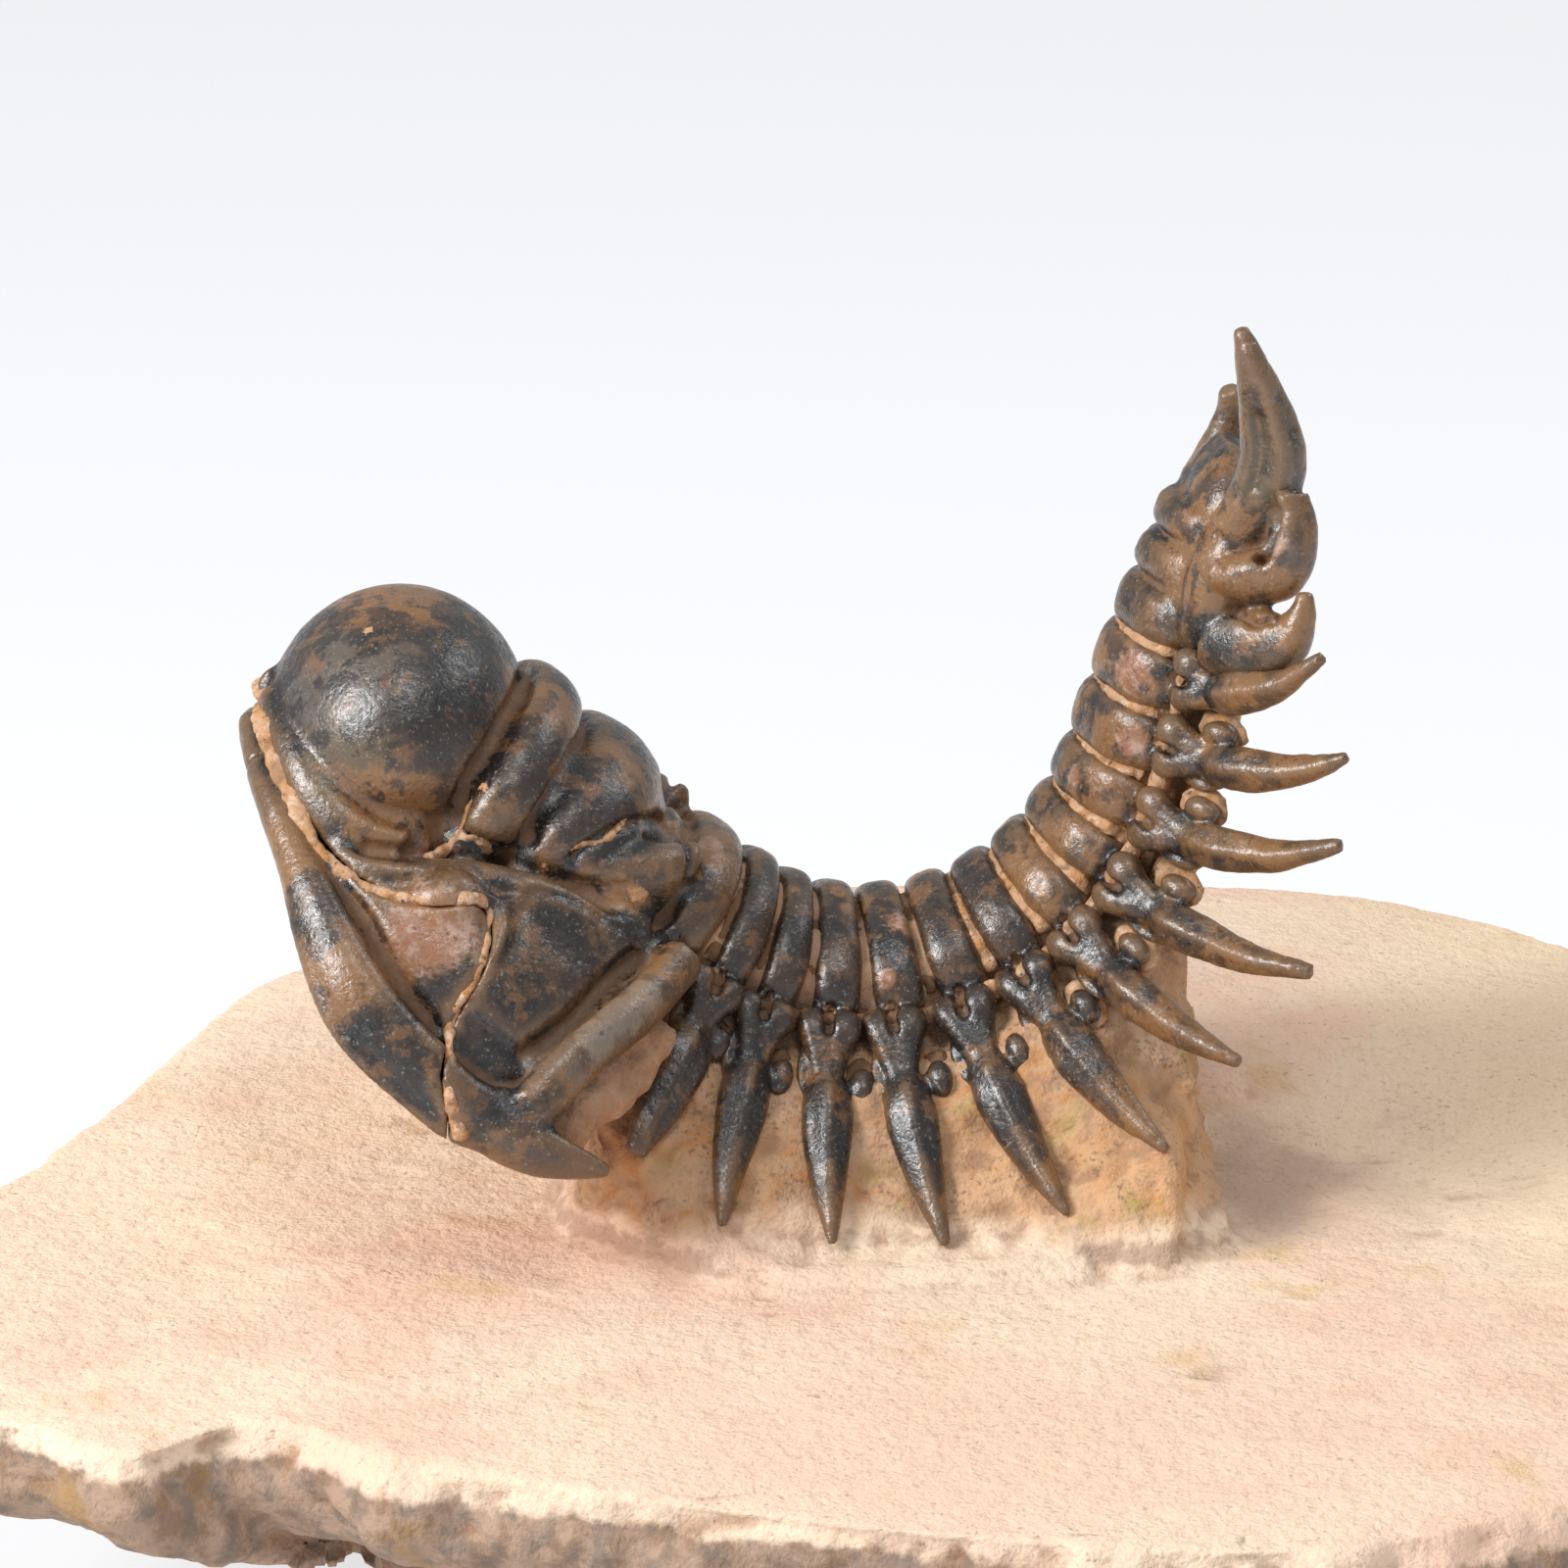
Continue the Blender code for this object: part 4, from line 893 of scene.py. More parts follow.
def add_side_lobe(clay, station, index, side):
    """Two knobs beside the axis, a neck, and a spine that widens and then tapers."""
    free = index > LAST_RESTING_SPINE
    half = SPINE_THICKNESS / 2
    rear, down, outward = flank_axes(station, index, side)

    def spot(share_out, share_down, depth, along=0.0):
        return lobe_point(station, index, side, share_out, share_down, depth) + rear * along

    # Front knob, long and slanted, and rear knob, rounder; both run into the neck
    front = [spot(0.03, 0.0, 0.7, -0.9), spot(0.1, 0.05, 0.45, -0.85), spot(0.19, 0.12, 0.5, -0.5),
             spot(0.33, 0.25, 0.7, -0.1)]
    add_sweep(clay, front, [0.55, 0.85, 0.85, 0.8], [0.55, 0.85, 0.8, 0.65], rear, 10)
    back = [spot(0.05, 0.02, 0.6, 0.9), spot(0.12, 0.06, 0.4, 0.9), spot(0.2, 0.13, 0.55, 0.5),
            spot(0.33, 0.25, 0.7, 0.1)]
    add_sweep(clay, back, [0.65, 0.95, 0.85, 0.8], [0.65, 0.95, 0.8, 0.65], rear, 10)
    bridge = station.at(SPINE_START[index - 1] / 2, (axis_half_width(index) - 0.3) * side, -0.6)
    add_sweep(clay, [bridge, spot(0.2, 0.13, 1.1)], [1.2, 1.2], [0.6, 0.6], rear, 8)
    # Spine
    shares = ((0.2, 0.13), (0.35, 0.26), (0.54, 0.42), (0.77, 0.72), (1.0, 1.0))
    sinks = (half, half, half * 0.85, half * 0.7, 0.12)
    centres = [spot(*share, sink) for share, sink in zip(shares, sinks)]
    widths = [0.9, 1.0, 1.42, 0.98, 0.26]
    depths = [half * 0.9, half * 0.95, half * 1.05, half * 0.85, 0.2]
    if index == 1:
        widths = [0.95, 1.2, 1.6, 1.3, 0.6]
    if free:
        widths = [0.95, 1.0, 1.2, 0.85, 0.36]
        depths = [half * 0.95, half, half * 1.15, half, 0.34]
    add_sweep(clay, centres, widths, depths, rear, 12, 24, 1.9)
    if index == THORAX_SEGMENTS:
        return
    # Small oval bead behind the neck, and the thin flange in front of the next one
    bead = spot(0.38, 0.28, half * 1.2, bead_pitch(station) / 2 - 0.1)
    add_ball(clay, bead, (rear, down, outward), (0.68, 1.08, 0.72))
    root = [spot(0.36, 0.27, 1.3), bead - outward * 0.5]
    add_sweep(clay, root, [0.4, 0.4], [0.4, 0.4], down, 6, 12)
    flange = [spot(0.2, 0.12, 0.9, -0.9), spot(0.27, 0.19, 0.75, -1.3),
              spot(0.36, 0.27, 0.75, -1.35), spot(0.45, 0.34, 0.9, -1.1)]
    add_sweep(clay, flange, [0.3, 0.26, 0.24, 0.2], [0.3, 0.34, 0.3, 0.2], rear, 8, 12)


def segment_marks(station, index):
    """Brown and grey patches that fall differently on each ring and spine."""
    chance = np.random.default_rng(MARKING_SEED + index)
    width = axis_half_width(index)
    height = axis_height(index)
    marks = []
    for _ in range(4):
        angle = chance.uniform(0.1, 0.9) * math.pi
        rear = chance.uniform(-1, 1)
        place = station.at(rear, -math.cos(angle) * width, math.sin(angle) * height)
        kind = chance.choice(["brown", "rose", "brown"])
        marks.append((kind, place, chance.uniform(0.6, 1.7), 0.8))
    for side in SIDES:
        for share in ((0.3, 0.22), (0.6, 0.5), (0.85, 0.82)):
            kind = chance.choice(["brown", "brown", "olive"])
            place = lobe_point(station, index, side, *share, 0.0)
            place += station.rear * chance.choice([-1, 1])
            marks.append((kind, place, chance.uniform(0.6, 1.2), 0.8))
        # Matrix that still clings in the fork behind the knobs
        fork = lobe_point(station, index, side, 0.02, -0.01, 0.4)
        marks.append(("matrix_skin", fork, 0.45, chance.uniform(0.3, 0.9)))
        if index < LAST_RESTING_SPINE + 1:
            marks.append(("ink", station.at(-0.8, width * 0.75 * side, height * 0.6), 3.4, 0.8))
            marks.append(("ink", lobe_point(station, index, side, 0.16, 0.1, 0.3), 2.2, 1.0))
            bead = lobe_point(station, index, side, 0.38, 0.28, 0.4) + station.rear * 1.9
            marks.append(("ink", bead, 1.2, 1.0))
            marks.append(("ink", lobe_point(station, index, side, 0.6, 0.5, 0.3), 1.8, 0.7))
        if index > LAST_RESTING_SPINE - 1:
            marks.append(("brown", lobe_point(station, index, side, 0.75, 0.7, 0.0), 3.0, 0.7))
            marks.append(("brown", station.at(-1.0, width * 0.8 * side, height * 0.6), 2.6, 0.7))
    return marks


def make_segment(index, material):
    """An axial ring with its two side lobes, furrowed, worn and marked."""
    clay = []
    station = STATIONS[index]
    add_arch(clay, station, axis_half_width(index), axis_height(index), RING_DEPTH, 0.4)
    for side in SIDES:
        add_side_lobe(clay, station, index, side)
    segment = press(clay, "fossil_segment_%02d" % index, SEGMENT_VOXEL, 2)
    for side in SIDES:
        rear, _, _ = flank_axes(station, index, side)
        line = [lobe_point(station, index, side, out, down, 0.3) + rear * along
                for out, down, along in ((0.0, -0.02, 0.2), (0.08, 0.04, 0.0), (0.17, 0.1, -0.1))]
        carve(segment, line, 0.22, 0.5)
        keel = [lobe_point(station, index, side, out, down, 0.0)
                for out, down in ((0.38, 0.3), (0.54, 0.42), (0.77, 0.72), (0.96, 0.95))]
        carve(segment, keel, 0.38, -0.17)
    wear = shell_wear() * (1.3 if index > LAST_RESTING_SPINE else 0.6)
    roughen(segment, SEGMENT_SEED + index, scale=1.6, amount=wear, layers=4)
    mark_cavities(segment, *SHELL_HOLLOWS)
    mark(segment, segment_marks(station, index))
    finish_piece(segment, material, "thoracic_segment_%02d" % index)


# Tail

# Markings as kind, x, distance from the midline, z, radius, strength
TAIL_MARKS = (
    ("brown", 21.7, 5.5, 57.0, 3.5, 1.0), ("grey", 22.8, 6.8, 54.6, 2.2, 0.8),
    ("olive", 25.6, 9.8, 53.8, 1.0, 1.0), ("rose", 25.0, 8.3, 57.9, 0.6, 0.8),
    ("brown", 22.2, 3.1, 59.9, 2.0, 0.9), ("olive", 23.5, 6.7, 59.9, 2.6, 0.9),
    ("rose", 22.5, 6.8, 52.1, 0.6, 0.8), ("olive", 24.4, 6.8, 64.0, 3.5, 0.9),
    ("brown", 24.6, 9.0, 54.5, 2.6, 0.9), ("grey", 24.0, 8.0, 57.0, 2.2, 0.9),
)
# Station, line as rear, across, out; half width and depth
TAIL_FURROWS = (
    (13, ((5.6, 7.4, -1.2), (3.6, 7.6, -1.8), (2.2, 7.4, -1.9)), 0.4, 0.7),
    (13, ((2.6, 7.6, -2.1), (1.9, 7.6, -2.1)), 0.45, 0.7),
    (13, ((-1.2, 6.4, -1.6), (-1.0, 7.6, -2.8), (-0.6, 8.4, -3.6)), 0.3, 0.6),
    (14, ((2.9, 7.6, -1.4), (5.2, 8.0, -1.2), (7.4, 8.2, 0.0), (9.4, 8.0, 1.4), (11.0, 7.6, 2.8)),
     0.45, -0.3),
    (14, ((3.2, 7.4, 0.2), (5.4, 7.6, 0.4), (7.4, 7.8, 1.4)), 0.4, 0.35),
)


def make_tail(material):
    """Three rings with a pair of spines each; the long spine of the far side is broken."""
    clay = []
    first = THORAX_SEGMENTS + 1
    for ring in range(TAIL_RINGS):
        index = first + ring
        station = STATIONS[index]
        add_arch(clay, station, axis_half_width(index), axis_height(index), 2.4, 0.4)
        for side in SIDES:
            shape = (TAIL_HOOK, TAIL_STUMP, TAIL_LONG if side < 0 else TAIL_LONG_BROKEN)[ring]
            centres = []
            for along, beyond, out, _, _ in shape:
                across = (axis_half_width(index) + beyond) * side
                centres.append(station.at(along, across, out))
            widths = [row[3] for row in shape]
            depths = [row[4] for row in shape]
            wide_axis = station.rear if ring == 0 else station.out
            add_sweep(clay, centres, widths, depths, wide_axis, 12)
    # Side fields of the shield, from the rings out to the spines
    middle = STATIONS[first + 1]
    for side in SIDES:
        add_ball(clay, middle.at(0.3, 4.6 * side, -0.5), (middle.rear, ACROSS, middle.out),
                 (4.2, 2.0, 1.7))
    # Solid bed that joins the rings, and the blunt end of the axis
    bed = [STATIONS[index].at(0.0, 0.0, 0.2) for index in range(first, first + TAIL_RINGS)]
    end = STATIONS[first + TAIL_RINGS - 1]
    bed.append(end.at(2.2, 0.0, 0.2))
    bed.append(end.at(4.4, 0.0, -0.3))
    add_sweep(clay, bed, [4.6, 4.6, 4.4, 4.2, 3.0], [1.9, 1.8, 1.7, 1.5, 0.9], ACROSS, 10, 40)
    tail = press(clay, "fossil_pygidium", TAIL_VOXEL, 2)
    for station, line, width, depth in TAIL_FURROWS:
        for side in SIDES:
            carve(tail, [STATIONS[station].at(r, y * side, o) for r, y, o in line], width, depth)
    roughen(tail, TAIL_SEED, scale=1.8, amount=1.45 * shell_wear(), layers=4)
    mark_cavities(tail, *SHELL_HOLLOWS)
    mark(tail, [(kind, Vector((x, y * side, z)), radius, strength)
                for kind, x, y, z, radius, strength in TAIL_MARKS for side in SIDES])
    finish_piece(tail, material, "pygidium")


# Matrix


def base_top(x, y):
    """Height of the block's upper face: a low swell to the rear, falling off to the rim."""
    swell = 3.2 * math.exp(-(((x - 6.0) / 38.0) ** 2) - ((y - 24.0) / 20.0) ** 2)
    dip = 1.2 * math.exp(-(((x - 34.0) / 12.0) ** 2) - ((y + 4.0) / 12.0) ** 2)
    return BASE_TOP + swell - dip


ROCK_NOISE = NoiseField(11)


def add_base(clay):
    """The slab with its overhanging rim, on the narrower foot."""
    centre_x, centre_y = BASE_CENTRE
    outline = [Vector((x, y, 0.0)) for x, y in BASE_OUTLINE]
    closed = [outline[-1]] + outline + outline[:2]
    points = []
    steps = 16
    for i in range(len(outline) * steps):
        points.append(blend(closed, 1 + i / steps))
    # Share of the outline and height, from the underside up over the rim to the middle
    levels = (
        (0.0, 0.0), (0.3, 0.0), (0.6, 0.0), (0.775, 0.0), (0.78, 0.3), (0.79, 3.0),
        (0.795, 7.5), (0.8, FOOT_TOP), (0.86, 13.8), (0.93, BASE_RIM - 3.0),
        (0.965, BASE_RIM - 2.4), (0.985, BASE_RIM - 1.5), (1.0, BASE_RIM - 0.6),
        (1.003, BASE_RIM), (1.0, 19.2), (0.995, 20.0), (0.985, None), (0.975, None),
        (0.94, None), (0.9, None), (0.8, None), (0.7, None), (0.58, None), (0.45, None),
        (0.32, None), (0.2, None), (0.1, None), (0.0, None),
    )
    rows = []
    for share, height in levels:
        row = []
        for point in points:
            x = centre_x + (point.x - centre_x) * share
            y = centre_y + (point.y - centre_y) * share
            if height is not None and height <= FOOT_TOP:
                x = max(x, SAWN_FACE_X)
            z = base_top(x, y) if height is None else height
            row.append((x, y, z))
        rows.append(row)
    add_loft(clay, rows)


def pedestal_row(index):
    """Half section of the pedestal at a segment, from the crest down the flank to the foot."""
    station = STATIONS[index]
    width = axis_half_width(index)
    height = axis_height(index)
    inset = 1.35
    row = [station.at(0.0, 0.0, height - inset)]
    row.append(station.at(0.0, 0.7 * (width - inset), 0.7 * (height - inset)))
    row.append(station.at(0.0, width - 0.6, -1.6))
    for share in FLANK_SHARES:
        row.append(lobe_point(station, index, 1, *share, FLANK_DEPTH))
    tip = lobe_point(station, index, 1, 1.0, 1.0, 0.5)
    row.append(tip)
    flare = FOOT_FLARE - 2.4 * max(0, 2 - index)
    row.append(Vector((tip.x, tip.y + flare, FOOT_Z + 1.6)))
    row.append(Vector((tip.x, tip.y + 1.5 * flare, FOOT_Z)))
    row.append(Vector((tip.x, tip.y + 1.5 * flare, ROOT_Z)))
    return row


def whole_row(half):
    """Mirror a half section, whose first point is on the midline, and close it below."""
    other = [Vector((p.x, -p.y, p.z)) for p in half[:0:-1]]
    return other + half


def add_pedestal(clay):
    """Matrix left under the animal, from the neck to the cut face behind the seventh spine."""
    under_head = (
        (-9.8, 0.0, 32.0), (-10.0, 5.0, 32.0), (-10.4, 9.0, 31.0), (-10.8, 11.4, 29.5),
        (-11.0, 12.4, 28.0), (-11.3, 12.2, 26.4), (-11.6, 11.6, 24.6), (-12.2, 10.8, 22.6),
        (-13.4, 10.4, FOOT_Z), (-13.4, 10.4, ROOT_Z),
    )
    rows = [[Vector(p) for p in under_head]]
    for index in range(1, LAST_RESTING_SPINE + 1):
        rows.append(pedestal_row(index))
    behind_seventh = (
        (18.0, 0.0, 39.5), (18.3, 3.5, 39.0), (18.6, 5.6, 36.5), (19.0, 6.8, 33.5),
        (19.4, 8.4, 30.5), (19.8, 10.6, 27.5), (20.0, 12.4, 25.2), (20.3, 14.4, 23.0),
        (20.9, 17.0, FOOT_Z), (20.9, 17.0, ROOT_Z),
    )
    cut_face = (
        (CUT_FACE_X, 0.0, 42.0), (CUT_FACE_X, 3.4, 41.0), (CUT_FACE_X, 4.8, 37.5),
        (CUT_FACE_X, 6.0, 33.5), (CUT_FACE_X, 7.6, 30.0), (CUT_FACE_X, 9.6, 27.0),
        (CUT_FACE_X + 0.1, 11.4, 25.0), (CUT_FACE_X + 0.6, 13.2, 22.8),
        (CUT_FACE_X + 1.8, 15.6, FOOT_Z), (CUT_FACE_X + 1.8, 15.6, ROOT_Z),
    )
    for shape in (behind_seventh, cut_face):
        rows.append([Vector(p) for p in shape])
    add_loft(clay, smooth_rows([whole_row(row) for row in rows], 6, 6))


def add_trunk_core(clay, inset):
    """Matrix inside the arched body, out to the thin fin that carries the tail."""
    rows = []
    for index, station in enumerate(STATIONS):
        width = axis_half_width(index) - inset
        height = axis_height(index) - inset
        depth = 3.6 if index < THORAX_SEGMENTS else 3.0
        row = [station.at(0.0, across, out) for across, out in half_ellipse(width, height, 24)]
        for share, drop in ((0.9, 0.6), (0.55, 1.0), (-0.55, 1.0), (-0.9, 0.6)):
            row.append(station.at(0.0, width * share, -depth * drop))
        rows.append(row)
    add_loft(clay, smooth_rows(rows, 4, 1))


def add_lobe_beds(clay):
    """Matrix under the side lobes of the raised tail, out to their necks."""
    for side in SIDES:
        centres = []
        for index in range(LAST_RESTING_SPINE, THORAX_SEGMENTS + 1):
            centres.append(lobe_point(STATIONS[index], index, side, 0.2, 0.2, 2.6))
        count = len(centres)
        add_sweep(clay, centres, [1.5] * count, [1.0] * count, ACROSS, 8)


def make_matrix(material):
    """The rock as one body: slab, pedestal and the filling of the fossil."""
    clay = []
    add_base(clay)
    add_pedestal(clay)
    add_trunk_core(clay, 0.75)
    add_lobe_beds(clay)
    add_head_core(clay, SHELL, -9.6)
    for side in SIDES:
        bed = head_curve(CORNER_BED, side)
        add_sweep(clay, bed, [1.7, 2.1, 2.2, 1.5], [1.2, 1.5, 1.6, 1.2], HEAD.forward, 10)
    block = press(clay, "matrix_rock", MATRIX_VOXEL, 2)
    thin_out(block, BLOCK_TRIANGLES)
    roughen_rock(block)
    mark_cavities(block, *BLOCK_HOLLOWS)
    mark_zones(block)
    finish_piece(block, material, "matrix_block")


def closeness(values, middle, reach):
    return np.exp(-(((values - middle) / reach) ** 2))


def ramp(values, low, high):
    """0 at low, 1 at high, and straight between them."""
    return np.clip((values - low) / (high - low), 0, 1)


def near_rim(x, y):
    """0 over the middle of the block, 1 in its outer part."""
    return ramp(np.hypot(x - BASE_CENTRE[0], y - BASE_CENTRE[1]), 24.0, 30.0)


def roughen_rock(block):
    """Broken rim, gently uneven top and pitted pedestal; the underside stays flat."""
    points = points_of(block) / MM
    x, y, z = points.T
    steep = 1 - np.abs(normals_of(block)[:, 2])
    outer = near_rim(x, y)
    rim = outer * ramp(z, FOOT_TOP - 1.0, FOOT_TOP + 1.0) * (0.25 + 0.75 * steep)
    rim *= ramp(BASE_TOP + 0.4 - z, -0.4, 1.4)
    flank = (1 - outer) * ramp(z, FOOT_Z + 0.5, FOOT_Z + 2.5)
    off_underside = ramp(z, 0.3, 1.2)
    chips = ROCK_NOISE.layers(points, 5.5, 5)
    chips = np.sign(chips) * np.abs(chips) ** 0.8
    ripples = ROCK_NOISE.layers(points + 50.0, 14.0, 4)
    pits = np.minimum(ROCK_NOISE.layers(points + 90.0, 1.5, 2), 0.25)
    splinters = ROCK_NOISE.layers(points + 70.0, 1.7, 2)
    depth = bpy.context.scene.fossil_stone.chips / MM
    push = rim * (depth * chips + 0.45 * splinters) + 0.22 * (1 - rim) * ripples
    push += (0.06 + 0.46 * flank) * pits
    push += 0.22 * flank * ROCK_NOISE.layers(points + 30.0, 3.4, 2)
    push_out(block, points, push * off_underside)


def mark_zones(block):
    """Store where the rock's colour and grain change and where shade and shadow are painted, and
    raise crumbs on the beds.
    """
    points = points_of(block) / MM
    x, y, z = points.T
    steep = 1 - np.abs(normals_of(block)[:, 2])
    outer = near_rim(x, y)
    # Rim: a darker brown broken edge, partly its own colour and partly painted shade on the side
    # faces
    below = ramp(20.4 - z, 0.0, 1.2)
    store(block, "rim", outer * np.clip(below + 0.35 * steep * (x < 24.0), 0, 1))
    store(block, "flank", (1 - outer) * ramp(z, FOOT_Z + 0.8, FOOT_Z + 4.5))
    # Painted shadow of the tail and its spines to the right of the pedestal, over rock that is
    # also darker in colour there
    store(block, "hollow", closeness(x, 25.0, 7.0) * closeness(y, -4.0, 9.0)
          * ramp(30.0 - z, 0.0, 9.0) * ramp(z, 17.0, 20.0))
    store(block, "blush", closeness(x, 6.0, 22.0) * closeness(y, -40.0, 12.0))
    store(block, "straw", ramp(x, 26.0, 44.0))
    store(block, "gold", ramp(x, 4.0, 11.0) * closeness(z, 25.5, 4.0))
    # Painted shade: a darker band on the steep faces just above the slab, where the pedestal meets
    # it
    ground = np.array([base_top(*spot) for spot in points[:, :2]])
    store(block, "foot", (1 - outer) * closeness(z - ground, 0.7, 0.9) * np.clip(steep * 3, 0, 1))
    # Painted shade on the matrix in the corner between each cheek and the first spine
    beds = [(place, 2.4, 1.0) for side in SIDES for place in head_curve(CORNER_BED, side)]
    bed = spots(points, beds)
    # The filling that shows between the resting rings gets this painted shade as well
    gaps = (np.abs(y) < 7.3) & (x > -4.0) & (x < STATIONS[LAST_RESTING_SPINE - 1].origin.x)
    store(block, "bed", np.maximum(bed, gaps & (z > 27.0)))
    bumps = NoiseField(13).layers(points, 1.5, 2) * 0.32 * bed
    push_out(block, points, bumps)
    store(block, "film", np.zeros(len(points)))


def add_bead_bed(clay, station, index, side):
    """Matrix in which a bead is set, between the knobs of two segments."""
    rear, down, outward = flank_axes(station, index, side)
    centre = lobe_point(station, index, side, 0.36, 0.26, 1.45)
    centre = centre + rear * (bead_pitch(station) / 2 - 0.1)
    add_ball(clay, centre, (rear, down, outward), (1.05, 1.6, 0.5))


def make_films(material, head_films):
    """Thin matrix that the preparation left: along the sutures and between the rings."""
    clay = []
    sink = bpy.context.scene.fossil_stone.film_depth / MM
    for centres, widths in head_films:
        add_film(clay, centres, widths, sink)
    for index in range(THORAX_SEGMENTS + 1):
        before = STATIONS[index]
        after = STATIONS[index + 1]
        below = 0.86 if index > LAST_RESTING_SPINE - 2 else 1.2
        width = (axis_half_width(index) + axis_half_width(index + 1)) / 2 - below
        height = (axis_height(index) + axis_height(index + 1)) / 2 - below
        centres = []
        for across, out in half_ellipse(width, height, 14):
            centres.append((before.at(before.back_pitch / 2, across, out)
                            + after.at(-after.front_pitch / 2, across, out)) / 2)
        count = len(centres)
        add_sweep(clay, centres, [0.42] * count, [0.42] * count, before.rear, 4, 12)
    for side in SIDES:
        centres = []
        for index in range(THORAX_SEGMENTS + 1):
            station = STATIONS[index]
            across = (axis_half_width(index + 1) + 0.05) * side
            centres.append(station.at(station.back_pitch / 2, across, -0.75))
        count = len(centres)
        add_sweep(clay, centres, [0.55] * count, [0.5] * count, ACROSS, 8, 12)
        for index in range(1, THORAX_SEGMENTS):
            add_bead_bed(clay, STATIONS[index], index, side)
    films = press(clay, "matrix_films", FILM_VOXEL, 1)
    roughen(films, FILM_SEED, scale=0.7, amount=0.17, layers=2)
    mark_cavities(films, *FILM_HOLLOWS)
    # Between the front rings the film is painted dark, as shade in the narrow gaps
    dark_end = STATIONS[LAST_RESTING_SPINE - 1].origin
    points = points_of(films) / MM
    front = (points[:, 0] < dark_end.x) & (points[:, 0] > STATIONS[0].origin.x + 1.0)
    store(films, "film", np.where(front, 0.52, 1.0))
    for name in ROCK_ZONES:
        store(films, name, np.zeros(len(points)))
    finish_piece(films, material, "matrix_block")


# Finishes


class Graph:
    """Adds nodes to one tree and links them as they are fed."""

    def __init__(self, tree):
        self.tree = tree

    def node(self, kind, values=(), **settings):
        made = self.tree.nodes.new("ShaderNode" + kind)
        for name, value in settings.items():
            setattr(made, name, value)
        for name, value in dict(values).items():
            self.feed(made.inputs[name], value)
        return made

    def feed(self, socket, value):
        if isinstance(value, bpy.types.NodeSocket):
            self.tree.links.new(value, socket)
        else:
            socket.default_value = value

    def attribute(self, name):
        return self.node("Attribute", attribute_name=name).outputs["Fac"]

    def maths(self, operation, *values):
        made = self.node("Math", operation=operation)
        for socket, value in zip(made.inputs, values):
            self.feed(socket, value)
        return made.outputs[0]

    def step(self, value, low, high):
        """A soft step from 0 at low to 1 at high."""
        made = self.node("MapRange", interpolation_type="SMOOTHSTEP")
        for socket, fed in zip(("Value", "From Min", "From Max"), (value, low, high)):
            self.feed(made.inputs[socket], fed)
        return made.outputs["Result"]

    def over(self, under, mask, colour, strength=1.0):
        """The colour laid over what is there, where the mask says."""
        if strength != 1.0:
            mask = self.maths("MULTIPLY", mask, strength)
        made = self.node("Mix", data_type="RGBA")
        self.feed(made.inputs["Factor"], mask)
        self.feed(made.inputs["A"], opaque(under))
        self.feed(made.inputs["B"], opaque(colour))
        return made.outputs["Result"]

    def stack(self, under, *layers):
        """Layers of mask, colour and strength, each laid over the ones before."""
        for mask, colour, strength in layers:
            under = self.over(under, mask, colour, strength)
        return under

    def patches(self, size, low, high, seed, detail=3.0):
        made = self.node("Group", node_tree=patch_group())
        values = {"Size": size, "Low": low, "High": high, "Seed": seed, "Detail": detail}
        for name, value in values.items():
            self.feed(made.inputs[name], value)
        return made.outputs

    def blots(self, size, low, high, seed, detail=3.0):
        """The soft mask alone of a set of patches."""
        return self.patches(size, low, high, seed, detail)["Mask"]

    def zone(self, name, patches, low, high, wander=1.1):
        """A stored mask with its edge broken up by the noise of a set of patches."""
        shift = self.maths("SUBTRACT", patches["Noise"], 0.5)
        shift = self.maths("MULTIPLY", shift, wander)
        return self.step(self.maths("ADD", self.attribute(name), shift), low, high)


def opaque(colour):
    """A plain colour with full alpha; what another node gives stays as it is."""
    if isinstance(colour, bpy.types.NodeSocket):
        return colour
    return (*colour, 1.0)


def patch_group():
    """Shared group: patches of a given size in millimetres, as noise and as a soft mask."""
    name = "mineral patches"
    if name in bpy.data.node_groups:
        return bpy.data.node_groups[name]
    group = bpy.data.node_groups.new(name, "ShaderNodeTree")
    for socket in ("Size", "Low", "High", "Seed", "Detail"):
        group.interface.new_socket(socket, in_out="INPUT", socket_type="NodeSocketFloat")
    for socket in ("Noise", "Mask"):
        group.interface.new_socket(socket, in_out="OUTPUT", socket_type="NodeSocketFloat")
    graph = Graph(group)
    given = group.nodes.new("NodeGroupInput").outputs
    shift = graph.node("VectorMath", operation="ADD")
    graph.feed(shift.inputs[0], graph.node("TexCoord").outputs["Object"])
    graph.feed(shift.inputs[1], graph.maths("MULTIPLY", given["Seed"], 0.137))
    scale = graph.maths("DIVIDE", 1.0 / MM, given["Size"])
    noise = graph.node("TexNoise", {"Vector": shift.outputs[0], "Scale": scale,
                                    "Detail": given["Detail"], "Roughness": 0.6}).outputs["Fac"]
    result = group.nodes.new("NodeGroupOutput").inputs
    graph.feed(result["Noise"], noise)
    graph.feed(result["Mask"], graph.step(noise, given["Low"], given["High"]))
    return group


def new_material(name):
    material = bpy.data.materials.new(name)
    material.use_nodes = True
    return material, Graph(material.node_tree), shader_of(material)


def shader_of(material):
    return material.node_tree.nodes["Principled BSDF"]


